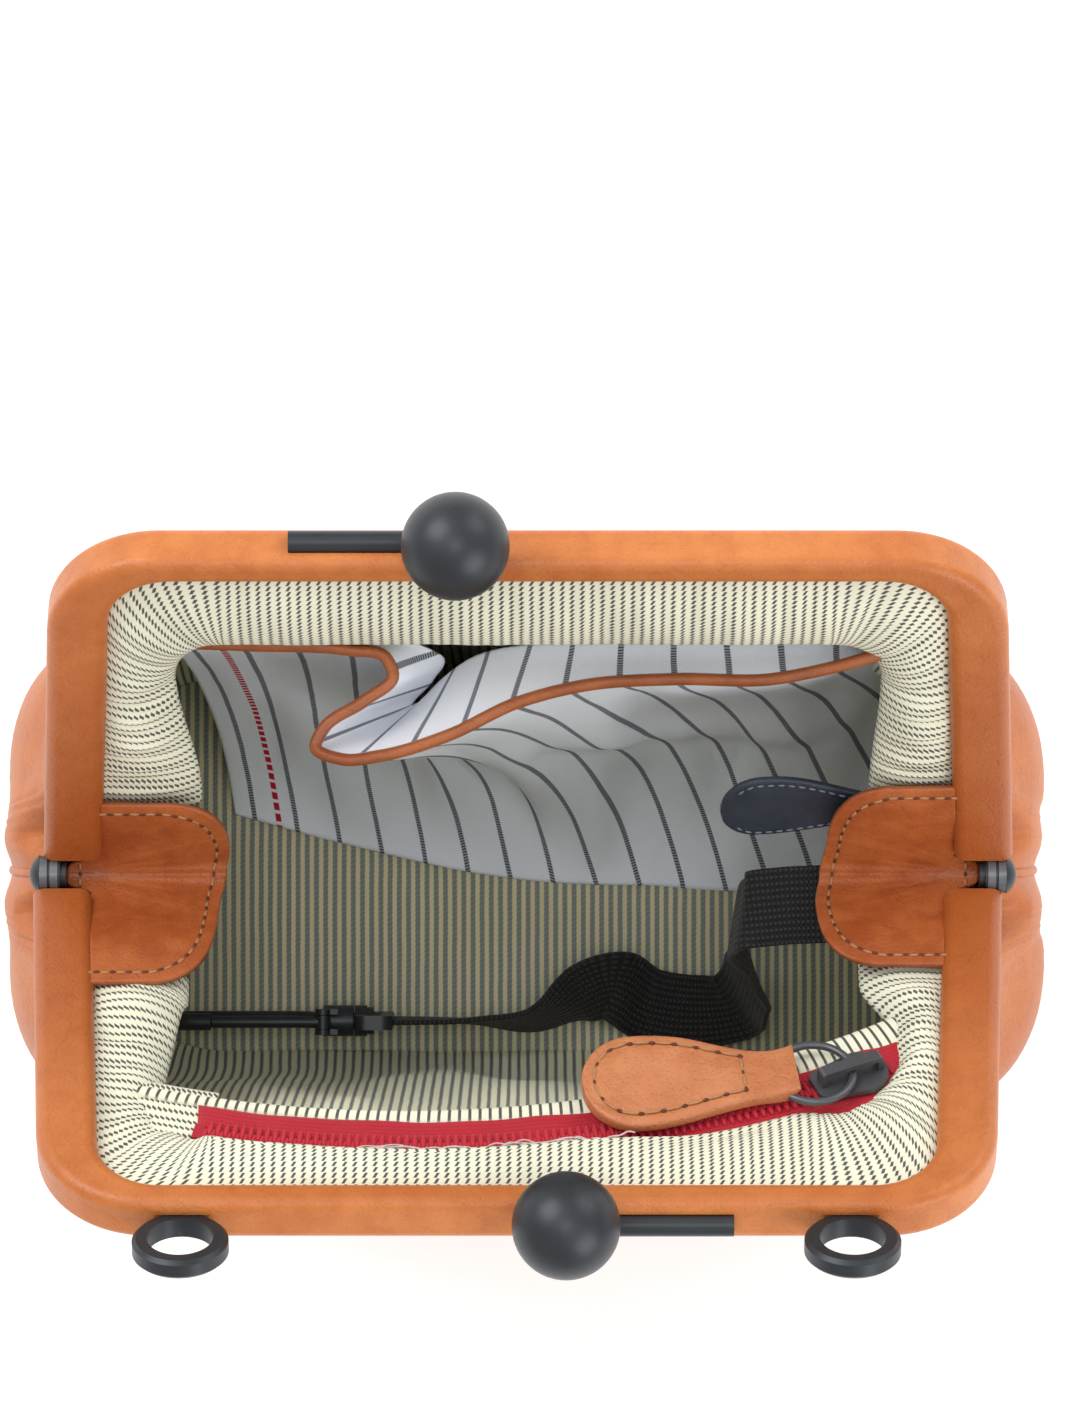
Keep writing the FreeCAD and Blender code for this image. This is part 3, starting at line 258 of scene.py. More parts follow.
def tube(name, path, radius, finish, count=10):
    """Round tube along a path."""
    along = unit(np.gradient(path, axis=0))
    side = unit(np.cross(along, [0, 1.0, 0]))
    profile = np.repeat(ellipse(radius, radius, count)[None], len(path), axis=0)
    return sweep(name, path, side, np.cross(side, along), profile, finish)


def stitches(name, centres, along, up, length, width, finish):
    """Repeated stitch: a grain with tapered ends, its long way along the seam, at each centre."""
    rings, sides = 5, 6
    lat = np.linspace(-1, 1, rings)[:, None] * 0.97
    lon = np.linspace(0, TURN, sides, endpoint=False)[None]
    girth = (1 - lat**2) ** 0.4
    grain = np.stack(np.broadcast_arrays(lat * length / 2, girth * np.cos(lon) * width / 2,
                                         girth * np.sin(lon) * width / 2), -1).reshape(-1, 3)
    along = unit(along)
    side = unit(np.cross(unit(up), along))
    axes = np.stack([along, side, np.cross(along, side)], axis=1)
    points = centres[:, None] + np.einsum("ka,nac->nkc", grain, axes)
    pattern = capped(np.arange(rings * sides).reshape(rings, sides))
    faces = [[corner + rings * sides * n for corner in face] for n in range(len(centres)) for face in pattern]
    return make(name, points.reshape(-1, 3), faces, finish)


def seam(name, path, up, pitch, width, finish, gap_share=0.25, holes=None):
    """Stitches at an even pitch along a path, lying on a surface with the given up directions; where
    asked, a dark needle hole is set at each stitch's end."""
    run = lengths(path, 0)
    count = max(int(run[-1] / pitch), 1)
    places = (np.arange(count) + 0.5) * run[-1] / count
    lines = (path, np.gradient(path, axis=0), np.broadcast_to(up, path.shape))
    pick = lambda at: [np.stack([np.interp(at, run, line[:, k]) for k in range(3)], -1) for line in lines]
    rows = [stitches(name, *pick(places), pitch * (1 - gap_share), width, finish)]
    if holes:
        at, along, above = pick(np.append(places - run[-1] / count / 2, run[-1]))
        rows.append(stitches(name + "_holes", at - unit(above) * width * 0.28, along, above,
                             pitch * gap_share * 1.5, width * 1.25, holes))
    return rows


# Finishes

class Value:
    """A shader socket whose arithmetic adds Math nodes."""

    def __init__(self, finish, socket):
        self.finish, self.socket = finish, socket

    def __add__(self, other):
        return self.finish.math("ADD", self, other)

    def __sub__(self, other):
        return self.finish.math("SUBTRACT", self, other)

    def __rsub__(self, other):
        return self.finish.math("SUBTRACT", other, self)

    def __mul__(self, other):
        return self.finish.math("MULTIPLY", self, other)

    def __truediv__(self, other):
        return self.finish.math("DIVIDE", self, other)

    def __gt__(self, other):
        return self.finish.math("GREATER_THAN", self, other)

    __radd__ = __add__
    __rmul__ = __mul__


class Finish:
    """A material under construction: nodes are added by one method and values combined by sums."""

    def __init__(self, name):
        self.material = bpy.data.materials.new(name)
        self.material.use_nodes = True
        self.tree = self.material.node_tree
        self.shader = self.tree.nodes["Principled BSDF"]

    def set(self, socket, value):
        """Link a value to a socket, or set a number or colour on it."""
        if isinstance(value, Value):
            self.tree.links.new(value.socket, socket)
        else:
            socket.default_value = value

    def node(self, kind, settings=(), sockets=(), output=0):
        """Add a node: its settings first, then the values or links of its sockets."""
        node = self.tree.nodes.new("ShaderNode" + kind)
        for key, value in dict(settings).items():
            setattr(node, key, value)
        for key, value in dict(sockets).items():
            self.set(node.inputs[key], value)
        return Value(self, node.outputs[output])

    def math(self, operation, a, b=0.0):
        """One Math node."""
        return self.node("Math", {"operation": operation}, {0: a, 1: b})

    def wave(self, value, period):
        """Sine wave of a length, from 0 to 1."""
        return self.math("SINE", value * (TURN / (period * MM))) * 0.5 + 0.5

    def fract(self, value):
        """What is left of a value above its whole number."""
        return self.math("FRACT", value)

    def distance(self, value, place):
        """How far a value is from a place."""
        return self.math("ABSOLUTE", value - place)

    def step(self, value, low, high, start=0.0, end=1.0):
        """Smooth step of a value from start at low to end at high."""
        return self.node("MapRange", {"interpolation_type": "SMOOTHSTEP"},
                         {"Value": value, "From Min": low, "From Max": high,
                          "To Min": start, "To Max": end})

    def place(self):
        """The point on the piece, in metres."""
        return self.node("TexCoord", output="Object")

    def split(self, vector):
        """The three parts of a vector."""
        return [self.node("SeparateXYZ", {}, {0: vector}, output=axis) for axis in range(3)]

    def uv(self):
        """The piece's own two lengths, along and across, in metres."""
        return self.split(self.node("TexCoord", output="UV"))[:2]

    def noise(self, size, detail=2.0, rough=0.5):
        """Noise from 0 to 1 with features of a size in millimetres."""
        return self.node("TexNoise", {}, {"Vector": self.place(), "Scale": 1 / (size * MM),
                                          "Detail": detail, "Roughness": rough})

    def cells(self, size):
        """Distance to the nearest of scattered points, a size in millimetres apart."""
        return self.node("TexVoronoi", {}, {"Vector": self.place(), "Scale": 1 / (size * MM)})

    def mix(self, factor, a, b):
        """Colour a turned into colour b by a factor."""
        return self.node("Mix", {"data_type": "RGBA"}, {0: factor, 6: a, 7: b}, output=2)

    def bump(self, height, depth, strength=1.0, over=None):
        """Normal from a height of 0 to 1 that stands for a depth in millimetres."""
        sockets = {"Height": height, "Distance": depth * MM, "Strength": strength}
        if over:
            sockets["Normal"] = over
        return self.node("Bump", {}, sockets)

    def done(self, color, rough, normal=None, metallic=0.0, **constants):
        """The finished material; constants go on the shader's own sockets."""
        self.set(self.shader.inputs["Base Color"], color)
        self.set(self.shader.inputs["Roughness"], rough)
        self.set(self.shader.inputs["Metallic"], metallic)
        if normal:
            self.set(self.shader.inputs["Normal"], normal)
        for key, value in constants.items():
            self.shader.inputs[key.replace("_", " ").title().replace("Ior", "IOR")].default_value = value
        return self.material


def rgb(r, g, b):
    """Linear colour from the 0 to 255 values of a screen colour."""
    line = lambda v: v / 12.92 if v <= 0.04045 else ((v + 0.055) / 1.055) ** 2.4
    return tuple(line(v / 255) for v in (r, g, b)) + (1.0,)


def shade(color, share):
    """A colour times a share of its light."""
    return tuple(c * share for c in color[:3]) + (1.0,)


def leather(name, light, dark, deep, grain=0.7, pebble=0.10, rough=0.42, painted_shade=None):
    """Dyed leather: clouded colour, fine pebbled grain with pores, faint creases and a soft sheen; a frame
    given painted shade is darkened low on its legs and where its two halves meet."""
    f = Finish(name)
    cloud = f.noise(22, 3) * 0.6 + f.noise(5, 4) * 0.4
    pores = f.cells(grain)
    fine = f.noise(grain * 0.5, 3)
    crease = f.step(f.distance(f.noise(9, 2), 0.5), 0.0, 0.035)
    color = f.mix(f.step(cloud, 0.34, 0.66), dark, light)
    if painted_shade:
        # Painted shade: darker low on the legs, where less light falls, and on the faces where the two halves
        # meet.
        _, y, z = f.split(f.place())
        depth = f.math("ABSOLUTE", y) * math.cos(LEAN) - (z - HINGE * MM) * math.sin(LEAN)
        meeting_shade = f.step(depth, 0.5 * MM, 2.2 * MM, 0.32, 0.0)
        low = f.step(z, 84 * MM, 140 * MM, 0.62, 0.0)
        color = f.mix(low, color, painted_shade)
        color = f.mix(meeting_shade, color, painted_shade)
    color = f.mix(f.step(pores, 0.05, 0.45, 0.16, 0.0), color, deep)
    color = f.mix((1 - crease) * 0.06, color, deep)
    grain_height = f.step(pores, 0.0, 0.55) * 0.75 + fine * 0.25
    normal = f.bump(grain_height, pebble, 0.6)
    normal = f.bump(crease, pebble * 1.2, 0.25, over=normal)
    return f.done(color, rough - 0.06 + cloud * 0.14 - pores * 0.06, normal, specular_ior_level=0.45)


def ticking(name, ground, line, pitch=1.85, link=1.05, line_share=0.2, gap=0.62, lean=0.36):
    """Striped lining cloth: canvas weave, and at every pitch a thin line of slanted links, like a
    fine chain, that runs along V."""
    f = Finish(name)
    u, v = f.uv()
    wobble = f.noise(6, 2) * 0.12 - 0.06
    phase = f.fract(u / (pitch * MM) + wobble)
    beat = f.fract(v / (link * MM))
    slant = (beat - 0.5) * lean
    off = f.distance(phase - slant, 0.5)
    dash = f.step(f.distance(beat, 0.5), 0.34, 0.47, 1.0, 0.0)
    body = f.step(off, line_share * 0.55, line_share, 1.0, 0.0)
    mask = body * (dash * gap + (1 - gap))
    weave = f.wave(u, 0.42) * f.wave(v, 0.42)
    soil = f.noise(30, 3)
    color = f.mix(f.step(soil, 0.3, 0.75), ground, shade(ground, 0.9))
    color = f.mix(mask * 0.92, color, line)
    color = f.mix(weave * 0.10, color, shade(ground, 0.62))
    return f.done(color, 0.9, f.bump(weave * 0.7 + mask * 0.3, 0.08, 0.55), specular_ior_level=0.2,
                  sheen_weight=0.08)


def shirting(name, ground, line, accent, pitch=10.0):
    """White pocket cloth with a woven navy line at each pitch along V and one broken red line."""
    f = Finish(name)
    u, v = f.uv()
    phase = f.fract(u / (pitch * MM) + f.noise(14, 2) * 0.06)
    off = f.distance(phase, 0.5)
    thread = f.wave(v, 0.6) * 0.45 + 0.55
    mask = f.step(off, 0.045, 0.07, 1.0, 0.0) * thread
    red = f.step(f.distance(u, 10.5 * MM), 0.55 * MM, 0.8 * MM, 1.0, 0.0) * (f.wave(v, 2.4) > 0.22)
    weave = f.wave(u, 0.5) * f.wave(v, 0.5)
    color = f.mix(f.noise(40, 3) * 0.5, ground, shade(ground, 0.86))
    color = f.mix(mask, color, line)
    color = f.mix(red, color, accent)
    color = f.mix(weave * 0.08, color, line)
    return f.done(color, 0.86, f.bump(weave + f.noise(7, 2) * 0.6, 0.09, 0.5), specular_ior_level=0.2)


def webbing(name, ground, light):
    """Black webbing: ribs along its length crossed by close weft ridges."""
    f = Finish(name)
    u, v = f.uv()
    rib = f.wave(v, 1.25)
    weft = f.wave(u + rib * (0.35 * MM), 0.9)
    height = rib * 0.55 + weft * 0.45
    color = f.mix(f.step(height, 0.45, 0.95), ground, light)
    return f.done(color, 0.72, f.bump(height, 0.3, 0.9), specular_ior_level=0.3, sheen_weight=0.1)


def twill(name, ground, dark):
    """Woven zip tape: fine diagonal ribs over fainter ones along its length."""
    f = Finish(name)
    u, v = f.uv()
    diagonal = f.wave(u + v * 1.6, 0.62)
    across = f.wave(v, 0.9)
    height = diagonal * 0.7 + across * 0.3
    color = f.mix(f.step(height, 0.2, 0.8) * 0.8 + f.noise(8, 2) * 0.2, dark, ground)
    return f.done(color, 0.62, f.bump(height, 0.16, 0.8), specular_ior_level=0.35, sheen_weight=0.1)


def dark_metal(name, color, rough=0.36, scuff=0.5):
    """Blackened metal: satin, with faint clouding, fine tumbling marks and rubbed spots."""
    f = Finish(name)
    cloud = f.noise(6, 3)
    scratch = f.noise(0.5, 4, 0.7)
    worn = f.step(f.noise(3.2, 5, 0.65), 0.66, 0.8) * scuff
    tone = f.mix(cloud, color, shade(color, 1.5))
    tone = f.mix(worn * 0.5, tone, rgb(120, 122, 125))
    normal = f.bump(scratch, 0.012, 0.5)
    return f.done(tone, rough + cloud * 0.1 + scratch * 0.06, normal, 0.55, coat_weight=0.12,
                  coat_roughness=0.3)


def thread(name, color):
    """Waxed sewing thread: a fine mottled twist, darker in its hollows."""
    f = Finish(name)
    twist = f.noise(0.35, 2)
    tone = f.mix(twist, color, shade(color, 0.5))
    return f.done(tone, 0.6, f.bump(twist, 0.1, 0.6))


# The casing's darker colour low on its legs and where its halves meet is painted shade.
CASING = leather("casing_leather", rgb(206, 125, 63), rgb(188, 105, 47), rgb(108, 48, 16),
                 painted_shade=rgb(148, 70, 25))
BODY = leather("body_leather", rgb(192, 113, 60), rgb(180, 99, 48), rgb(104, 47, 18), grain=0.9, rough=0.5)
PATCH = leather("patch_leather", rgb(178, 98, 50), rgb(152, 74, 33), rgb(92, 40, 13), grain=0.8, pebble=0.14)
PULL = leather("pull_leather", rgb(196, 126, 82), rgb(176, 102, 60), rgb(100, 48, 20), grain=0.8, pebble=0.22)
BINDING = leather("binding_leather", rgb(160, 88, 42), rgb(132, 66, 28), rgb(80, 36, 13))
NAVY = leather("navy_leather", rgb(50, 57, 70), rgb(36, 42, 54), rgb(14, 17, 24))
LINING = ticking("striped_lining", rgb(233, 232, 208), rgb(34, 37, 48))
# Floor cloth: the lining's stripes, fainter, on a ground painted darker and yellower as painted shade of the
# bag's floor.
SHADED_FLOOR_CLOTH = ticking("floor_lining_painted_shade", rgb(218, 208, 170), rgb(112, 124, 126),
                      line_share=0.34, gap=0.15, lean=0.06)
WALL_CLOTH = ticking("wall_lining", rgb(232, 229, 198), rgb(62, 71, 82),
                     line_share=0.24, gap=0.3, lean=0.12)
SHIRTING = shirting("pocket_cloth", rgb(234, 239, 248), rgb(44, 50, 68), rgb(188, 28, 52))
WEBBING = webbing("black_webbing", rgb(14, 14, 15), rgb(52, 50, 50))
TAPE = twill("zip_tape", rgb(212, 26, 52), rgb(140, 8, 26))
COIL = twill("zip_coil", rgb(226, 44, 66), rgb(150, 10, 30))
METAL = dark_metal("black_metal", rgb(44, 47, 51))
STRIP_METAL = dark_metal("strip_metal", rgb(92, 94, 98), 0.3)
GUNMETAL = dark_metal("gunmetal", rgb(78, 80, 84), 0.3)
TAN_THREAD = thread("tan_thread", rgb(196, 138, 90))
DARK_THREAD = thread("dark_thread", rgb(96, 50, 24))
PALE_THREAD = thread("pale_thread", rgb(224, 204, 200))
NAVY_THREAD = thread("navy_thread", rgb(120, 130, 150))
RED_THREAD = thread("red_thread", rgb(190, 26, 50))


# CAD nodes that stay

def dress(finish, slot, *nodes):
    """Give CAD nodes a finish; the slot is not used."""
    for name in nodes:
        node = frame["nodes"][name]
        node.data.materials.clear()
        node.data.materials.append(finish)


dress(CASING, "frame_leather", "front_frame_casing", "rear_frame_casing")
dress(STRIP_METAL, "strip_metal", "front_frame_strip", "rear_frame_strip")
dress(METAL, "dark_metal", "front_clasp_rod", "front_clasp_ball", "rear_clasp_rod", "rear_clasp_ball",
      "strap_ring_left", "strap_ring_right", "hinge_rivets", "hinge_washers",
      "hook_swivel_loop", "snap_hook", "hook_gate", "hook_gate_pin")
dress(GUNMETAL, "dark_metal", "zip_slider", "zip_pull_ring")
dress(RED_THREAD, "zip_coil", "zip_stops")


BLEND_START = -6
BLEND_END = 16


def follow(piece, side):
    """Bake a soft piece's transform into its mesh; the points on its frame half where the blend would start
    and end are worked out but not used.
    """
    on_half(side, side * SHIFT, BLEND_START, 0) * MM
    on_half(side, side * SHIFT, BLEND_END, 0) * MM
    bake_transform(piece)


def finish_piece(piece, slot, *nodes, body=None, side=None):
    """Hide the CAD nodes that a piece stands for, hang the piece under the body that it rides on, and where a
    frame half is given bake its transform; the slot is not used."""
    if nodes:
        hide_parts(*nodes)
    if body:
        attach(piece, body)
    if side:
        follow(piece, side)


# Leather body

BODY_Z = (0, 12, 32, 50, 66, 78, 95, 114, 136)
BODY_WIDTH = (86, 93, 98.5, 100.2, 97.5, 91, 87.5, 85.5, 83.5)
BODY_DEPTH = (40.5, 44, 47, 48, 48.5, 49, 51.5, 56, 61.5)
BODY_CORNER = (26, 30, 33, 34, 34, 32, 25, 18, 12)
BODY_THICK = 1.6
BODY_SETBACK = 9.5
SEAM_PINCH = 2.6
END_TUCK = 6.0
BASE_PLATE = (84.4, 38.9, 25, 1.9)
BASE_THICK = 1.7
PIPING_RADIUS = 1.0
LINING_Z = (3, 12, 40, 60, 72.5, 108, 130)
LINING_WIDTH = (82, 90, 95, 88, 79, 77.5, 77)
LINING_DEPTH = (37.5, 41, 42.5, 43, 43.6, 45.2, 47)
LINING_CORNER = (24, 28, 30, 30, 26, 16, 14)
LINING_THICK = 0.7
LINING_SETBACK = {FRONT: 8.6, REAR: 5.4}
FLOOR_PLATE = (83.5, 38.6, 25, 3.9)


def level(u, z, side, tables):
    """Point of a bag wall at a height: half outline whose width, depth and corner change with height."""
    knots, width, depth, corner = tables
    x, out = half_outline(u, curve(z, knots, width), curve(z, knots, depth), curve(z, knots, corner))
    return np.stack([x, -side * out, z], axis=-1)


def wall(u, s, side, low, tables, setback):
    """Bag wall: levels of the bag from the leaning plane a setback behind a half's mating plane down
    to a low height; the plane's height at each place round is found by repeated substitution."""
    top = np.full_like(u, HINGE)
    for _ in range(16):
        out = np.abs(level(u, top, side, tables)[..., 1])
        top = HINGE - setback(out) / math.sin(LEAN) + out / math.tan(LEAN)
    return level(u, low + (top - low) * (1 - s), side, tables)


def swell(points, amount):
    """Move wall points outwards from the bag's upright axis by an amount, mostly forward or back."""
    return points + unit(points * [0.35, 1, 0]) * amount[..., None]


def body_panel(side):
    """Outer leather wall: from the casing's back down to the base, pinched in at the side seams and
    tucked in behind the casing's ends, with soft gathers under the frame and slack dents in the face."""
    u, s = np.meshgrid(np.linspace(0, 1, 181)[::side], np.linspace(0, 1, 71) ** 1.15)
    points = wall(u, s, side, 0.2, (BODY_Z, BODY_WIDTH, BODY_DEPTH, BODY_CORNER),
                  lambda out: BODY_SETBACK - 6.3 * (1 - smooth(out, 1.5, 8.5)))
    pinch = np.exp(-((points[..., 1] / 3.6) ** 2)) * smooth(points[..., 2], 25, 70)
    points[..., 0] -= SEAM_PINCH * np.sign(points[..., 0]) * pinch
    tuck = np.exp(-(((np.abs(points[..., 1]) - 8) / 4.5) ** 2) - (s / 0.045) ** 2)
    points[..., 0] -= END_TUCK * np.sign(points[..., 0]) * tuck
    gather = ripple(u, s, ((31, 1.5, 0.4, 0.5), (47, -1, 2.1, 0.35), (19, 0.6, 1.0, 0.4)))
    slack = ripple(u, s, ((2.0, 0.8, 0.7, 0.9), (3.2, -1.1, 2.6, 0.7), (5.3, 1.7, 4.0, 0.35)))
    held = smooth(s, 0.0, 0.06) * (1 - smooth(s, 0.9, 1.0)) * smooth(np.minimum(u, 1 - u), 0.04, 0.24)
    points = swell(points, held * (gather * np.exp(-s / 0.16) + slack * smooth(s, 0.1, 0.35)))
    piece = cloth("body_" + HALF_WORD[side], points, BODY_THICK, BODY)
    finish_piece(piece, "body_leather", HALF_WORD[side] + "_panel", side=side)
    return points


front_wall = body_panel(FRONT)
body_panel(REAR)


def flat_plate(half_width, half_depth, corner, z, steps=(81, 41)):
    """Grid over a rounded rectangle: depth at each place across follows the round ends."""
    x, share = np.meshgrid(np.sin(np.linspace(-1, 1, steps[0]) * math.pi / 2) * half_width,
                           np.linspace(-1, 1, steps[1]), indexing="ij")
    over = np.clip((np.abs(x) - (half_width - corner)) / corner, 0, 1)
    depth = half_depth - corner * (1 - np.sqrt(1 - over**2))
    return np.stack([x, share * depth, np.full_like(x, z)], axis=-1)


base = cloth("body_base", flat_plate(*BASE_PLATE), BASE_THICK, BODY)
finish_piece(base, "body_leather", "base_panel", body="pouch")
for hand, edge in (("left", 0), ("right", -1)):
    path = front_wall[:-3, edge] * [1, 0, 1] - [0.35 * (1 if edge else -1), 0, 0]
    piping = tube("seam_piping_" + hand, path, PIPING_RADIUS, BODY)
    finish_piece(piping, "body_leather", body="pouch")


# Striped lining

def lining_wall(side):
    """Lining wall: from behind the collar, or behind the zip, down to the floor, with slack folds.
    U runs round the bag, across the face and on along its sides, and V down the wall."""
    u, s = np.meshgrid(np.linspace(0, 1, 221)[::-side], np.linspace(0, 1, 81))
    points = wall(u, s, side, 3.4, (LINING_Z, LINING_WIDTH, LINING_DEPTH, LINING_CORNER),
                  lambda out: LINING_SETBACK[side])
    folds = ripple(u, s, ((9, 0.6, 0.5, 0.8), (14, -1.2, 2.0, 0.5), (5, 1.4, 3.0, 0.7), (23, 0.9, 1.2, 0.22)))
    held = smooth(s, 0.02, 0.25) * (1 - smooth(s, 0.86, 1.0)) * smooth(np.minimum(u, 1 - u), 0, 0.06)
    straight = np.sign(points[..., 0]) * (np.abs(points[..., 0]) - np.abs(points[..., 1])
                                          + curve(points[..., 2], LINING_Z, LINING_DEPTH))
    points = swell(points, -0.5 + held * np.minimum(folds * 0.9 - 0.6, 0.2))
    uv = np.stack([straight, lengths(points, 0)], axis=-1)
    piece = cloth("lining_" + HALF_WORD[side], points, LINING_THICK, WALL_CLOTH, uv)
    finish_piece(piece, "striped_lining", HALF_WORD[side] + "_lining", side=side)


lining_wall(FRONT)
lining_wall(REAR)
floor_points = flat_plate(*FLOOR_PLATE, (141, 61))
floor_points[..., 2] += ripple(floor_points[..., 0] / 100, floor_points[..., 1] / 100,
                               ((1.3, 2.0, 0.3, 0.35), (2.6, -1.2, 1.4, 0.25)))
lining_floor = cloth("lining_floor", floor_points, LINING_THICK, SHADED_FLOOR_CLOTH, floor_points[..., :2])
finish_piece(lining_floor, "striped_lining", body="pouch")


COLLAR_LEG = 23.5
COLLAR_BAR = {FRONT: 23, REAR: 28.5}
COLLAR_CORNER = 9
COLLAR_START = 13
CASING_BOW = (9.4, 4.6, 14, COLLAR_START)
COLLAR_DEPTH = 4.3
COLLAR_ON_TAPE = 203.0
HEM_SHARE = 0.88
ROOF_SHARE = 0.7


def facing_place(u, leg_inset, bar_inset, corner):
    """Parameter on the collar's outer bow that lies square across from a place on its inner bow: equal
    reach on the legs, equal place across on the bar, and the outer corner shared out between."""
    dense = np.linspace(0, 0.5, 2001)
    x, reach = bow(dense, *CASING_BOW)
    leg_top = np.interp(REACH - bar_inset - corner, reach, dense)
    bar_start = np.interp(-(TOP_HALF - leg_inset - corner), x[dense > BEND_SHARE], dense[dense > BEND_SHARE])
    half = np.minimum(u, 1 - u)
    inner_x, inner_reach = bow(half, leg_inset, bar_inset, corner, COLLAR_START)
    on_leg = np.interp(inner_reach, reach[dense <= SIDE_SHARE], dense[dense <= SIDE_SHARE])
    on_bar = np.interp(inner_x, x[dense > BEND_SHARE], dense[dense > BEND_SHARE])
    turn = np.clip((half - SIDE_SHARE) / (BEND_SHARE - SIDE_SHARE), 0, 1)
    place = np.where(half <= SIDE_SHARE, on_leg, np.where(half >= BEND_SHARE, on_bar,
                                                          leg_top + (bar_start - leg_top) * turn))
    return np.where(u > 0.5, 1 - place, place)


def over_zip(u, x1, r1):
    """Inner edge of the front collar, moved to the zip: it keeps to an arc on the outer tape, is pushed
    out beside the zip's right end and comes up to the arc past the left end. With it come two shares
    from 0 to 1: where the edge is at the zip, and where the cloth rolls over it."""
    x1 = x1 + 4.5 * smooth(x1, 30, 55) * smooth(r1, 22, 34) * (1 - smooth(r1, 44, 54))
    limit = zip_reach(x1, COLLAR_ON_TAPE - 1.4 * smooth(x1, 12, 40))
    raised = r1 + np.maximum(limit - r1, 0) * smooth(x1, -62.5, -57)
    on_bar = np.minimum(u, 1 - u) >= BEND_SHARE
    r1 = np.where(x1 < 0, raised, np.where(on_bar, limit, np.minimum(r1, limit)))
    at_zip = smooth(x1, -62, -55) * (1 - smooth(x1, 50, 60))
    return x1, r1, at_zip, smooth(x1, -64, -55) * (1 - smooth(x1, 12, 40))


def collar(side):
    """Striped collar inside a casing: a puffed band drawn between the casing's inner bow and a second
    bow within it, rolled under at its free edge. The front one stands over the zip as a hemmed roll,
    and lies lower beside the zip's left end, where the pull tab passes. U is the length along the
    edge, so the stripes stand square to the frame."""
    u, w = grid(321, 25)
    x1, r1 = bow(u, COLLAR_LEG, COLLAR_BAR[side], COLLAR_CORNER, COLLAR_START)
    x0, r0 = bow(facing_place(u, COLLAR_LEG, COLLAR_BAR[side], COLLAR_CORNER), *CASING_BOW)
    drawn_in = np.where(side * x1 < 0, 6.0, 3.2) * (1 - smooth(r1, 14, 52)) * smooth(np.abs(x1), 30, 55)
    x1 = x1 - np.sign(x1) * drawn_in
    at_zip = over = sunk = np.zeros_like(u)
    if side == FRONT:
        x1, r1, at_zip, over = over_zip(u, x1, r1)
    span = w + (np.minimum(w / HEM_SHARE, 1) - w) * over
    hem = over * np.clip((w - HEM_SHARE) / (1 - HEM_SHARE), 0, 1) ** 2
    across, reach = x0 + (x1 - x0) * span, r0 + (r1 - r0) * span + 1.2 * hem
    if side == FRONT:
        sunk = (1 - smooth(x1, -58, -42)) * smooth(reach, 28, 40)
    puff = 2.7 * np.sin(math.pi * w**0.85) * (1 - 0.45 * at_zip * w)
    puff = puff * smooth(reach, 19, 33) * (1 - 0.6 * sunk)
    roll = (3.6 * w**5 if side == FRONT else 2.4 * w**6) * (1 - at_zip) + 1.0 * w**2 * at_zip
    gather = ripple(u, w, ((63, 0.3, 0.2, 0.16), (97, -0.5, 1.3, 0.12), (21, 0.4, 2.2, 0.28),
                           (9, 0, 0.9, 0.3)))
    depth = COLLAR_DEPTH - puff + roll + gather * np.sin(math.pi * np.clip(w, 0, 1)) ** 0.7
    depth += 1.45 * sunk * smooth(w, 0, 0.4)
    if side == FRONT:
        # Right of the roll the cloth keeps below the slider; left of it, it arches over the tape.
        radius = np.hypot(across - ZIP_CENTRE, reach + ZIP_DROP)
        track = at_zip * (1 - over) * (1 - smooth(radius, 203.2, 206))
        depth += np.maximum(4.75 - depth, 0) * track
        roof = COLLAR_DEPTH - 4.4 * np.sin(math.pi / 2 * np.minimum(span / ROOF_SHARE, 1))
        roof += 5 * np.maximum(span - ROOF_SHARE, 0) ** 2 + 1.0 * hem + 0.6 * gather * np.sin(math.pi * w)
        depth += (roof - depth) * over
    points = on_half(side, side * across, reach, depth)
    edge = lengths(points, 0)[:, 10]
    uv = np.stack([np.repeat(edge[:, None], w.shape[1], axis=1), lengths(points, 1)], axis=-1)
    word = HALF_WORD[side]
    piece = cloth("collar_" + word, points, LINING_THICK, LINING, uv)
    finish_piece(piece, "striped_lining", word + "_collar", body=word + "_frame")


collar(FRONT)
collar(REAR)


# Zip

ZIP_LEFT = math.radians(-11.8)
ZIP_RIGHT = math.radians(29.2)
CHAIN_END = math.radians(22.0)
TAPE_INNER = 191.2
TAPE_OUTER = 204.7
TAPE_GAP = 0.15
TAPE_DEPTH = 6.0
COIL_DEPTH = 5.2
COIL_PITCH = 1.5
LOOP_LONG = 3.7
LOOP_WIDE = 1.05
FRAY_DEPTH = 0.75
FACE_UP = face_up(FRONT)


def zip_band(name, inner, outer, node):
    """Zip tape: flat ring band between two radii, slightly wavy, its left end cut upright."""
    run, share = grid(141, 11)
    radius = inner + (outer - inner) * share
    left = np.arcsin(TAPE_INNER * math.sin(ZIP_LEFT) / radius)
    angle = left + (ZIP_RIGHT - left) * run
    depth = TAPE_DEPTH + ripple(angle, share, ((6, 0, 0.4, 0.12), (13, 0.2, 1.0, 0.08)))
    points = on_zip(angle, radius, depth)
    uv = np.stack([angle * ZIP_RADIUS, share * (outer - inner)], axis=-1)
    finish_piece(cloth(name, points, 0.5, TAPE, uv), "zip_red", node, body="front_frame")


zip_band("zip_tape_out", ZIP_RADIUS + TAPE_GAP, TAPE_OUTER, "zip_tape_outer")
zip_band("zip_tape_in", TAPE_INNER, ZIP_RADIUS - TAPE_GAP, "zip_tape_inner")


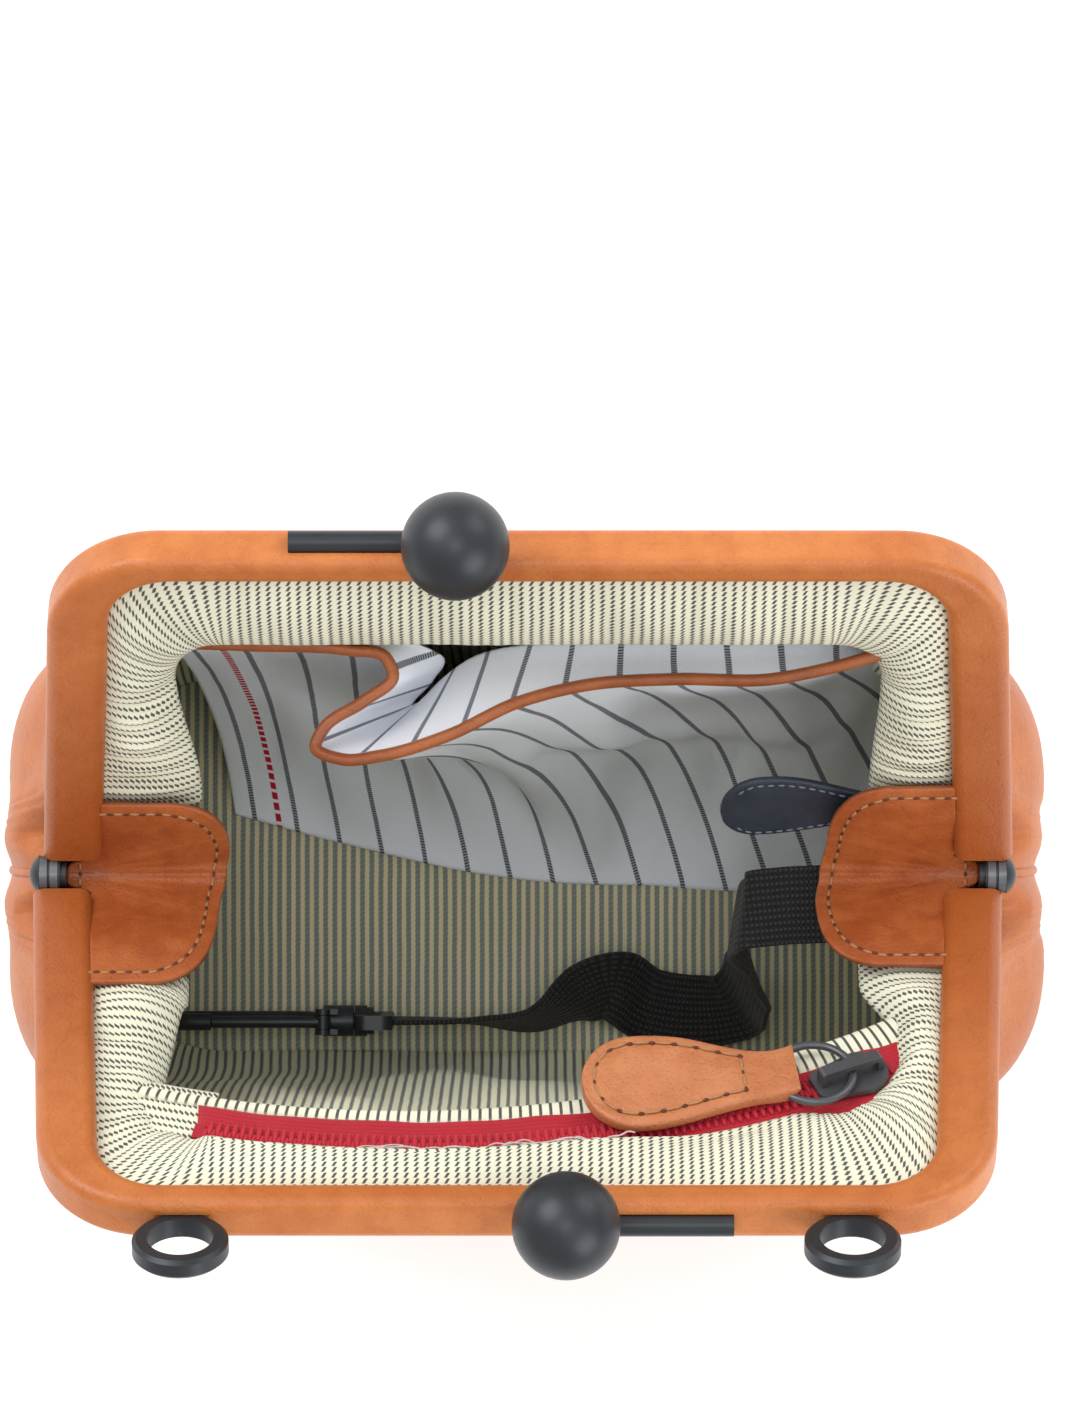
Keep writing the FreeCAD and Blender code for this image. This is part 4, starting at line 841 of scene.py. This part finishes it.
def chain(name, offset, sign, node):
    """Half of the zip's coil: one short loop across the middle at each pitch, and a sewn row beside."""
    step = COIL_PITCH / ZIP_RADIUS
    angle = np.arange(ZIP_LEFT + 2 * step, CHAIN_END, step) + offset * step
    centres = on_zip(angle, ZIP_RADIUS + sign * 0.95, COIL_DEPTH)
    out = on_zip(angle, ZIP_RADIUS + sign * 3, COIL_DEPTH) - centres
    loops = stitches(name, centres, out, FACE_UP, LOOP_LONG, LOOP_WIDE, COIL)
    finish_piece(loops, "zip_coil", node, body="front_frame")
    sewn = on_zip(angle, ZIP_RADIUS + sign * 3.6, 5.85)
    slant = np.gradient(sewn, axis=0) + out * 0.25
    row = stitches(name + "_sewing", sewn, slant, FACE_UP, 1.35, 0.7, RED_THREAD)
    finish_piece(row, "zip_coil", body="front_frame")


chain("zip_chain_out", 0.0, 1, "zip_coil_outer")
chain("zip_chain_in", 0.5, -1, "zip_coil_inner")


def zip_fold(radius=189.9, depth=6.3, half_width=1.9, half_height=1.1):
    """Folded cloth along the zip's inner edge: an ellipse carried along an arc, wider to the right and
    rounded off at both ends."""
    t = np.linspace(0, 1, 161)
    angle = np.linspace(ZIP_LEFT - 0.075, ZIP_RIGHT + 0.012, 161)
    path = on_zip(angle, radius, depth)
    out = unit(on_zip(angle, radius + 1, depth) - path)
    ends = np.sqrt(np.clip(np.minimum(t, t[::-1]) / 0.02, 0.02, 1))
    wide = half_width * (0.7 + 1.3 * t**2)
    profile = ellipse(1, half_height, 16, 0.8)[None] * ends[:, None, None]
    profile = profile * np.stack([wide, np.ones(161)], -1)[:, None]
    lip = sweep("zip_fold", path, out, FACE_UP, profile, LINING)
    finish_piece(lip, "striped_lining", "zip_lip", body="front_frame")


zip_fold()


def zip_end():
    """Striped cloth beside the zip's left end: a flat ring piece under the tapes' ends, its stripes
    along the zip."""
    angle, radius = np.meshgrid(np.linspace(ZIP_LEFT - 0.1, ZIP_LEFT + 0.015, 31),
                                np.linspace(187, 207, 25), indexing="ij")
    points = on_zip(angle, radius, 6.6 + 0.15 * np.sin(radius * 1.1))
    piece = cloth("zip_end_cloth", points, 0.6, LINING, np.stack([radius, angle * ZIP_RADIUS], axis=-1))
    finish_piece(piece, "striped_lining", body="front_frame")


zip_end()


def fray(name, start, end, radius, waves, size):
    """Loose pale thread that wanders along the hem over the zip."""
    angle = np.linspace(start, end, 120)
    t = np.linspace(0, 1, 120)
    depth = FRAY_DEPTH + ripple(t, 0, ((3, 0, 0.5, 0.2), (7, 0, 1.4, 0.15)))
    path = on_zip(angle, radius + ripple(t, 0, waves), depth)
    finish_piece(tube(name, path, size, PALE_THREAD, 6), "striped_lining", body="front_frame")


fray("frayed_edge_a", -0.09, 0.16, 202.7, ((2, 0, 0.3, 0.3), (5, 0, 1.0, 0.25)), 0.2)
fray("frayed_edge_b", -0.06, 0.11, 202.5, ((1.5, 0, 2.3, 0.45), (6, 0, 0.2, 0.3)), 0.16)
fray("frayed_edge_c", 0.06, 0.2, 202.7, ((2.5, 0, 1.1, 0.4), (9, 0, 0.6, 0.2)), 0.17)


# Zip pull tab

def pull_frame():
    """Origin at the far side of the pull ring and the axes of the pull: along to the slider, across
    and off the tape, from the two pull joints of the frame."""
    joints = {joint["name"]: joint for joint in frame["joints"]}
    near = np.array(joints["pull_ring_swing"]["pos_m"]) / MM
    far = np.array(joints["pull_tab_swing"]["pos_m"]) / MM
    along = unit(near - far)
    across = unit(np.array(joints["pull_ring_swing"]["axis"], float))
    return far, along, across, np.cross(along, across)


PULL_FAR, PULL_ALONG, PULL_ACROSS, PULL_UP = pull_frame()


def on_pull(x, y, z):
    """Point in the pull's own axes."""
    x, y, z = np.broadcast_arrays(*(np.asarray(v, float) for v in (x, y, z)))
    return PULL_FAR + x[..., None] * PULL_ALONG + y[..., None] * PULL_ACROSS + z[..., None] * PULL_UP


TAB_FOLD = 4.0
TAB_END = -35.4
TAB_ROUND = 9.7
TAB_THICK = 1.5
TAB_NARROW = 5.7
TAB_SWELL = 4.5
TAB_LIFT = 1.2
TAB_TURN = 0.13
TAB_SEAM = 2.3


def tab_half_width(x):
    """Half width of the pull tab: the folded narrow end, a swelling to the wide end, and its round."""
    body = TAB_NARROW + TAB_SWELL * smooth(-x, -1, 25)
    past = np.clip((TAB_END + TAB_ROUND - x) / TAB_ROUND, 0, 1)
    return body * np.sqrt(np.clip(1 - past**2, 0, 1))


def tab_lie(x, y):
    """Lift of the pull tab off its flat place: its wide end lies turned, the inner edge up."""
    inward = -np.sign(PULL_ACROSS @ (on_half(FRONT, 0, 1, 0) - on_half(FRONT, 0, 0, 0)))
    return (TAB_LIFT + TAB_TURN * inward * y) * smooth(-x, 0, 18)


def tab_leaf():
    """Pull tab: two leather layers round the ring, drawn as a leaf whose half width follows its
    length and whose edge is rounded; thickest over the ring's wire, flat beyond, with a groove for
    the stitches on both faces."""
    turn, share = np.meshgrid(np.linspace(0, TURN, 48, endpoint=False), np.linspace(0, math.pi, 90))
    x = TAB_FOLD + (TAB_END - TAB_FOLD) * (1 - np.cos(share)) / 2
    half = np.maximum(tab_half_width(x), 0.02)
    thick = TAB_THICK + 0.3 * smooth(x, -5, 1)
    nose = np.sqrt(np.clip((TAB_FOLD + 0.02 - x) / 2.6, 0, 1))
    y = half * signed_power(np.cos(turn), 0.3)
    z = thick * nose * signed_power(np.sin(turn), 0.5) * np.clip(half / 2.4, 0.05, 1) ** 0.4
    groove = 0.28 * np.exp(-((half - np.abs(y) - TAB_SEAM) / 0.6) ** 2) * (x < -5.2)
    z -= groove * np.sign(np.sin(turn))
    z += 0.13 * np.clip(x, 0, None) ** 2 + tab_lie(x, y)
    piece = make("pull_leaf", on_pull(x, y, z), capped(np.arange(x.size).reshape(x.shape)), PULL)
    finish_piece(piece, "frame_leather", "zip_pull_tab", body="pull_tab")


def tab_seam(face, name):
    """Stitches on a face of the pull tab: a loop at an even distance inside its edge."""
    turn_x = TAB_END + TAB_ROUND
    side_x = np.linspace(-5.8, turn_x, 40)
    bend = np.linspace(0, math.pi / 2, 20)[1:]
    x = np.concatenate([side_x, turn_x - (TAB_ROUND - TAB_SEAM) * np.sin(bend)])
    y = np.concatenate([tab_half_width(side_x) - TAB_SEAM,
                        (tab_half_width(np.array(turn_x)) - TAB_SEAM) * np.cos(bend)])
    x = np.concatenate([x, x[::-1], x[:1]])
    y = np.concatenate([y, -y[::-1], y[:1]])
    path = on_pull(x, y, face * TAB_THICK + tab_lie(x, y))
    for row in seam(name, path, PULL_UP * face, 4.0, 0.62, TAN_THREAD, 0.2, DARK_THREAD):
        finish_piece(row, "frame_leather", body="pull_tab")


tab_leaf()
tab_seam(1, "pull_stitch_top")
tab_seam(-1, "pull_stitch_back")


# Gusset patches

PATCH_REACH = 24.2
PATCH_OUTER = 81.0
PATCH_LONG = 25.0
PATCH_SHARE = 0.97
PATCH_SQUARE = 3.9
PATCH_SEAM = 2.4
PATCH_THICK = 1.2
TONGUE_LONG = 5.2
TONGUE_HALF = 3.8
PATCH_TWIST = 4.6
FOLD_DEPTH = 3.3
FOLD_ROUND = 3.7
TACK_PLACE = 83.6
GUSSET_PLACE = 80.4
GUSSET_FOOT = 60


def fold_height(run, depth=FOLD_DEPTH):
    """Height of a patch's face at a length up from its fold and a depth behind a half's plane: the
    leaning plane, rounded off at the fold like a hammock."""
    return HINGE - depth / math.sin(LEAN) + math.cos(LEAN) * np.sqrt(run**2 + FOLD_ROUND**2)


def on_patch(side, across, run, lift=0.0):
    """Point on a gusset patch: run is the length from the fold up along a half's plane; lift stands
    off its face."""
    up = fold_height(run, FOLD_DEPTH - 2.2 * smooth(run, 6, 19) - lift)
    return np.stack([across - side * SHIFT * smooth(run, 0, 8), -side * run * math.sin(LEAN), up], axis=-1)


def patch_inner(run, reach, long):
    """Inner edge of the D: a squared round from the patch's end to its middle."""
    share = np.clip(run / reach, 0, 1) * PATCH_SHARE
    return PATCH_OUTER - long * (1 - share**PATCH_SQUARE) ** (1 / PATCH_SQUARE)


def patch_lift(across, run, reach):
    """Swelling of the patch between its edges, and creases that fan out from the hinge."""
    share = np.clip((PATCH_OUTER - across) / PATCH_LONG, 0, 1)
    t = np.clip(run / reach, 0, 1)
    fan = np.arctan2(run, 6 + PATCH_OUTER - across)
    crease = ripple(fan, share, ((3.2, 0.2, 0.6, 0.09), (6.7, -0.4, 1.9, 0.04), (11, 0.7, 0.4, 0.02)))
    return (0.8 * np.sin(math.pi * share) * np.sin(math.pi * t) ** 0.8
            + crease * smooth(share, 0.02, 0.25) * (1 - smooth(fan, 0.45, 0.8)) * smooth(run, 0, 1.5))


def gusset_patch(hand, side, name):
    """Half a D-shaped patch over the side gusset, creased towards the hinge, with half of the tongue
    that runs out to the rivet; the left patch lies further forward than the right one."""
    share, t = np.meshgrid(np.linspace(0, 1, 61), np.linspace(-0.016, 1, 62), indexing="ij")
    reach = PATCH_REACH + (PATCH_TWIST * side if hand < 0 else 0)
    run = t * reach
    outer = PATCH_OUTER - TAPER * run + TONGUE_LONG * np.exp(-((run / TONGUE_HALF) ** 6))
    inner = patch_inner(run, reach, PATCH_LONG)
    across = outer + (inner - outer) * share
    points = on_patch(side, hand * across, run, patch_lift(across, run, reach))
    points = points if hand * side > 0 else points[::-1]
    piece = cloth(name, points, PATCH_THICK, PATCH, rim_share=1.0)
    finish_piece(piece, "frame_leather", side=side)
    run_line = np.linspace(0.0, reach - PATCH_SEAM, 60)
    x_line = patch_inner(run_line, reach - PATCH_SEAM, PATCH_LONG - PATCH_SEAM)
    x_line = np.append(x_line, np.linspace(x_line[-1], PATCH_OUTER, 12)[1:])
    run_line = np.append(run_line, np.full(11, run_line[-1]))
    lift = patch_lift(x_line, run_line, reach)
    path = on_patch(side, hand * x_line, run_line, lift + 0.05)
    above = on_patch(side, hand * x_line, run_line, lift + 1.05) - path
    for row in seam(name + "_stitch", path, above, 2.9, 0.55, TAN_THREAD, 0.35, DARK_THREAD):
        finish_piece(row, "frame_leather", side=side)
    return piece


def tongue_tack(hand, name):
    """Short row of stitches across the patch's tongue, on its fold."""
    y = np.linspace(-2.6, 2.6, 7)
    path = np.stack([np.full(7, hand * TACK_PLACE), y, fold_height(y / math.sin(LEAN)) + 0.1], -1)
    for row in seam(name, path, UPRIGHT, 2.2, 0.6, TAN_THREAD, 0.3, DARK_THREAD):
        finish_piece(row, "frame_leather", body="pouch")


def hinge_gusset(hand, name):
    """Leather behind a rivet: an upright sheet whose top edge keeps just under the patch's fold."""
    y, t = np.meshgrid(np.linspace(-11, 11, 41)[::-hand], np.linspace(0, 1, 15), indexing="ij")
    top = fold_height(y / math.sin(LEAN)) - 1.7
    z = GUSSET_FOOT + (top - GUSSET_FOOT) * t
    points = np.stack([np.full_like(y, hand * GUSSET_PLACE), y, z], axis=-1)
    finish_piece(cloth(name, points, 1.0, BODY), "body_leather", body="pouch")


for hand, word in ((-1, "left"), (1, "right")):
    first = gusset_patch(hand, FRONT, f"patch_{word}_front")
    gusset_patch(hand, REAR, f"patch_{word}_rear")
    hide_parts("gusset_patch_" + word)
    tongue_tack(hand, "tongue_stitch_" + word)
for hand, word in ((-1, "left"), (1, "right")):
    hinge_gusset(hand, "hinge_gusset_" + word)


# Side tab

SIDE_TAB_START = 38.0
SIDE_TAB_LONG = 31.0
SIDE_TAB_REACH = 13.4
SIDE_TAB_DEPTH = 4.6
SIDE_TAB_THICK = 1.7
SIDE_TAB_ROUND = 0.24


def on_side_tab(x, off, depth):
    """Point of the side tab: a share of its length, a distance off its middle line and a depth that
    sags in the middle."""
    across = SIDE_TAB_START + SIDE_TAB_LONG * x - 2 * SHIFT
    return on_half(REAR, across, SIDE_TAB_REACH + off, depth + 1.2 * np.sin(math.pi * x))


def side_tab_half(x):
    """Half width of the side tab: wide, then narrower towards the patch."""
    return 3.6 + 4.2 * (1 - smooth(x, 0.3, 1.0))


def side_tab():
    """Navy tab along the rear half's plane: a leaf that narrows towards the patch, its far end and
    its edge rounded, with a row of stitches along each side."""
    turn, x = np.meshgrid(np.linspace(0, TURN, 40, endpoint=False), np.linspace(0, 1, 60))
    past = np.clip((SIDE_TAB_ROUND - x) / SIDE_TAB_ROUND, 0, 1)
    half = side_tab_half(x) * np.sqrt(np.clip(1 - past**2, 0.0005, 1))
    points = on_side_tab(x, half * signed_power(np.cos(turn), 0.3),
                         SIDE_TAB_DEPTH - SIDE_TAB_THICK / 2 * signed_power(np.sin(turn), 0.5))
    piece = make("side_leaf", points, capped(np.arange(x.size).reshape(x.shape)), NAVY)
    finish_piece(piece, "navy_leather", "side_tab", body="pouch")
    along = np.linspace(0.1, 0.95, 40)
    past = np.clip((SIDE_TAB_ROUND - along) / 0.19, 0, 1)
    width = (side_tab_half(along) - 1.2) * np.sqrt(np.clip(1 - past**2, 0.0, 1))
    for sign, word in ((1, "upper"), (-1, "lower")):
        path = on_side_tab(along, sign * width, 3.7)
        for row in seam("side_leaf_stitch_" + word, path, face_up(REAR), 1.9, 0.42, NAVY_THREAD):
            finish_piece(row, "navy_leather", body="pouch")


side_tab()


# Slip pocket

MOUTH = np.array([[-67, 43.4], [-50, 42.8], [-31.5, 41.9], [-25, 40.6], [-23.6, 37.2], [-28.6, 32.8],
                  [-36.4, 27.4], [-37.8, 24.2], [-33, 22.0], [-26, 22.6], [-13.4, 26.4], [-1.2, 32.2],
                  [11, 35.4], [28, 36.6], [45.5, 36.6], [56, 38.6], [67, 41.6]])
ROOT = np.array([[-67, 47, 110], [-50, 46.5, 109], [-30, 46, 108], [-19, 43, 106], [-15, 41, 103],
                 [-16.5, 37, 101], [-20, 33, 100], [-21, 31.5, 100], [-18, 32.5, 100], [-15, 36, 101],
                 [-8, 41, 104], [2, 43, 107.5], [12, 43.4, 109], [28, 43.6, 109.5], [45, 43.6, 109.5],
                 [56, 44, 110], [67, 45, 110]], float)
MOUTH_HEIGHT = 113.0
SEAT_HEIGHT = 4.8


def at_height(line, height):
    """Points of a line seen from above, at one height."""
    return np.stack([line[..., 0], line[..., 1], np.full(line.shape[:-1], height)], -1)


def pocket_front(t, s, mouth):
    """Front layer of the slip pocket: from the folded mouth, first steeply down, then forward to its
    seam on the floor; the fold fades on the way and the cloth sags in soft ledges."""
    plain_y = 43 - 6.5 * np.sin(math.pi * np.clip(t * 1.08, 0, 1)) ** 1.5
    plain = np.stack([-66 + 133 * t, plain_y, np.full_like(t, MOUTH_HEIGHT)], -1)
    seat_y = curve(t, (0, 0.16, 0.45, 0.6, 0.88, 1), (10, 4.2, -3.4, -4.2, -1.0, 12))
    seat = np.stack([-58 + 134 * t, seat_y, np.full_like(t, SEAT_HEIGHT)], -1)
    share = np.stack([s, s**1.8, 1 - (1 - s) ** 1.7], -1)
    body = plain * (1 - share) + seat * share
    fold = at_height(mouth, MOUTH_HEIGHT) - plain
    body = body + fold * ((1 - smooth(s, 0.0, 0.9)) ** 1.5)[..., None]
    held = np.sin(math.pi * np.clip(s, 0, 1)) ** 0.8 * np.sin(math.pi * np.clip(t, 0, 1)) ** 0.4
    drop = 0.38 + 0.12 * smooth(t, 0.55, 0.9)
    ledge = 2.4 * smooth(s, drop - 0.2, drop) * (1 - smooth(s, drop, drop + 0.12)) * smooth(t, 0.42, 0.6)
    lean = t - 0.1 * s
    lap = 2.6 * smooth(lean, 0.37, 0.41) * (1 - smooth(lean, 0.41, 0.62)) * smooth(s, 0.25, 0.5)
    hollow = ripple(t, s, ((3.1, 0.7, 0.3, 1.1), (5.3, -1.2, 1.9, 0.8), (8.7, 1.6, 0.8, 0.45),
                           (13, 0.9, 2.0, 0.2)))
    hollow = np.maximum(hollow, -0.2 - 2 * s)
    body[..., 1] -= held * (ledge + lap + hollow + 0.6 * (1 - smooth(s, 0.1, 0.4)))
    body[..., 2] += held * hollow * 0.8
    return body


def pocket_facing(mouth, root, s):
    """Inner face of the slip pocket's mouth: from the trim back and down to a line under the collar,
    sagging a little on the way."""
    start = at_height(mouth, MOUTH_HEIGHT + 0.6)
    points = start + (root - start) * s[:, None, None]
    points[..., 2] -= 1.6 * np.sin(math.pi * s)[:, None]
    return points


def pocket():
    """Slip pocket: front layer, inner face of the mouth and leather trim on its edge. U is the length
    along the mouth, V the length down."""
    count = 241
    run = lengths(MOUTH, 0)
    mouth = spline(MOUTH, run, count)
    s, t = grid(91, count)
    points = pocket_front(t, s, np.broadcast_to(mouth, t.shape + (2,)))
    across = lengths(mouth, 0)
    uv = np.stack([across + (lengths(points, 1) - across) * 0.5 * s, lengths(points, 0)], axis=-1)
    front = cloth("pocket_sheet", points, 0.7, SHIRTING, uv)
    finish_piece(front, "pocket_cloth", "slip_pocket", side=REAR)
    facing = pocket_facing(mouth, spline(ROOT, run, count), np.linspace(0, 1, 31))
    facing_uv = np.stack([np.repeat(across[None] + 300, 31, axis=0), lengths(facing, 0)], axis=-1)
    back = cloth("pocket_lining", facing, 0.6, SHIRTING, facing_uv)
    finish_piece(back, "pocket_cloth", side=REAR)
    trim_path = at_height(mouth, MOUTH_HEIGHT + 1.0)
    side = np.cross(unit(np.gradient(trim_path, axis=0)), UPRIGHT)
    profile = np.repeat(ellipse(1.15, 2.2, 14, 0.75)[None], count, axis=0)
    trim = sweep("pocket_trim", trim_path, side, UPRIGHT, profile, BINDING)
    finish_piece(trim, "frame_leather", "pocket_binding", side=REAR)


pocket()


# Key leash

LEASH_STOPS = np.array([[76, -2, 72.0], [59, -5.6, 72.4], [49, -6.2, 72], [43, -7, 70.4], [41.2, -8.6, 65],
                        [43, -14, 42], [44.5, -23, 21], [41.5, -28.6, 10], [34, -29.4, 7.6],
                        [25, -28, 8.6], [17.5, -23.8, 13.5], [10.6, -26.6, 12], [3, -30.6, 10.6],
                        [-9, -31, 12], [-24, -31, 13], [-29.2, -31, 13]], float)
LEASH_WIDE = np.array([[0, 1, 0], [0.05, 1, 0], [0.1, 1, 0], [0.2, 1, 0], [0.2, 1, 0], [-0.1, 1, 0.1],
                       [-0.3, 0.8, 0.4], [-0.2, 0.9, 0.4], [0, 1, 0.15], [0.1, 1, 0.1], [-0.3, 0.85, 0.5],
                       [0.3, 0.75, 0.6], [0.1, 0.4, 0.9], [0, 0.1, 1], [0, 0, 1], [0, 0, 1]], float)
LEASH_HALF = 7.4
LEASH_HALF_THICK = 0.62


def leash():
    """Webbing strap: a flat rounded profile carried along the route; its width turns from level to
    upright on the way, and the end narrows into the swivel loop."""
    count = 241
    run = lengths(LEASH_STOPS, 0)
    at = np.linspace(0, run[-1], count)
    path, wide = spline(LEASH_STOPS, run, count), spline(LEASH_WIDE, run, count)
    along = unit(np.gradient(path, axis=0))
    wide = unit(wide - along * np.sum(wide * along, axis=-1, keepdims=True))
    up = np.cross(along, wide)
    half = LEASH_HALF - 0.9 * smooth(at, run[-1] - 18, run[-1] - 8)
    profile = np.stack([ellipse(1, LEASH_HALF_THICK, 24, 0.22)] * count)
    profile = profile * np.stack([half, np.ones(count)], -1)[:, None]
    strap = sweep("leash_strap", path, wide, up, profile, WEBBING)
    finish_piece(strap, "black_webbing", "leash_webbing", body="pouch")


leash()


# Zip pocket bag, between lining and panel

BAG_FOOT = 56
BAG_TALL = 48
BAG_HALF = 54


def zip_bag():
    """Cloth bag behind the zip: a flat sheet with soft corners and a slight quilted swell."""
    x, z = np.meshgrid(np.linspace(-1, 1, 61), np.linspace(0, 1, 41), indexing="ij")
    drop = 6 * np.abs(x) ** 6
    height = BAG_FOOT + drop + z * (BAG_TALL - drop)
    back = 44.5 + 2.7 * smooth(height, 66, 100) - 0.3 * np.sin(math.pi * z) * np.cos(x * 9)
    points = np.stack([x * BAG_HALF, -back, height], -1)
    uv = np.stack([x * BAG_HALF, z * BAG_TALL], axis=-1)
    piece = cloth("zip_bag_cloth", points, 0.9, SHIRTING, uv)
    finish_piece(piece, "pocket_cloth", "zip_pocket_bag", side=FRONT)


zip_bag()


# Stage, light and camera

def stage_light(name, place, aim, size, power):
    """Square soft light at a place, turned to face the aim."""
    data = bpy.data.lights.new(name, "AREA")
    data.shape = "SQUARE"
    data.size = size
    data.energy = power
    lamp = bpy.data.objects.new(name, data)
    way = np.array(aim, float) - np.array(place, float)
    lamp.location = place
    tilt = math.acos(-way[2] / np.linalg.norm(way))
    lamp.rotation_euler = (tilt, 0, math.atan2(way[1], way[0]) - math.pi / 2)
    bpy.context.scene.collection.objects.link(lamp)


def pale_floor():
    """Plain floor that fills the view."""
    f = Finish("pale_floor")
    material = f.done(f.mix(f.noise(60, 2), (0.86, 0.86, 0.86, 1), (0.9, 0.9, 0.9, 1)), 0.7,
                      emission_color=(1, 1, 1, 1), emission_strength=0.24)
    corners = np.array([[-1, -1, 0], [1, -1, 0], [1, 1, 0], [-1, 1, 0]]) * 2500.0
    make("studio_floor", corners - [0, 0, 0.1], [[0, 1, 2, 3]], material)


pale_floor()
stage_light("key", (-0.9, 0.9, 1.15), (0, 0, 0.1), 1.0, 17)
stage_light("fill", (1.0, -0.9, 1.0), (0, 0, 0.1), 1.0, 12)
stage_light("rim", (0.9, 1.0, 0.7), (0, 0, 0.1), 0.8, 5)
stage_light("overhead", (0.02, 0.06, 1.9), (0.0201, 0.0601, 0.0), 0.7, 6)
world = bpy.data.worlds.new("studio")
world.use_nodes = True
world.node_tree.nodes["Background"].inputs[0].default_value = (1, 1, 1, 1)
world.node_tree.nodes["Background"].inputs[1].default_value = 0.62
bpy.context.scene.world = world

camera_data = bpy.data.cameras.new("camera")
camera_data.sensor_fit = "AUTO"
camera_data.sensor_width = 36
camera_data.lens = 149.1
camera_data.clip_end = 20
camera = bpy.data.objects.new("camera", camera_data)
camera.location = (0.0021, 0.0306, 1.19)
camera.rotation_euler = (0, 0, 0)
bpy.context.scene.collection.objects.link(camera)
bpy.context.scene.camera = camera
bpy.context.scene.view_settings.view_transform = "Standard"

bpy.context.view_layer.update()
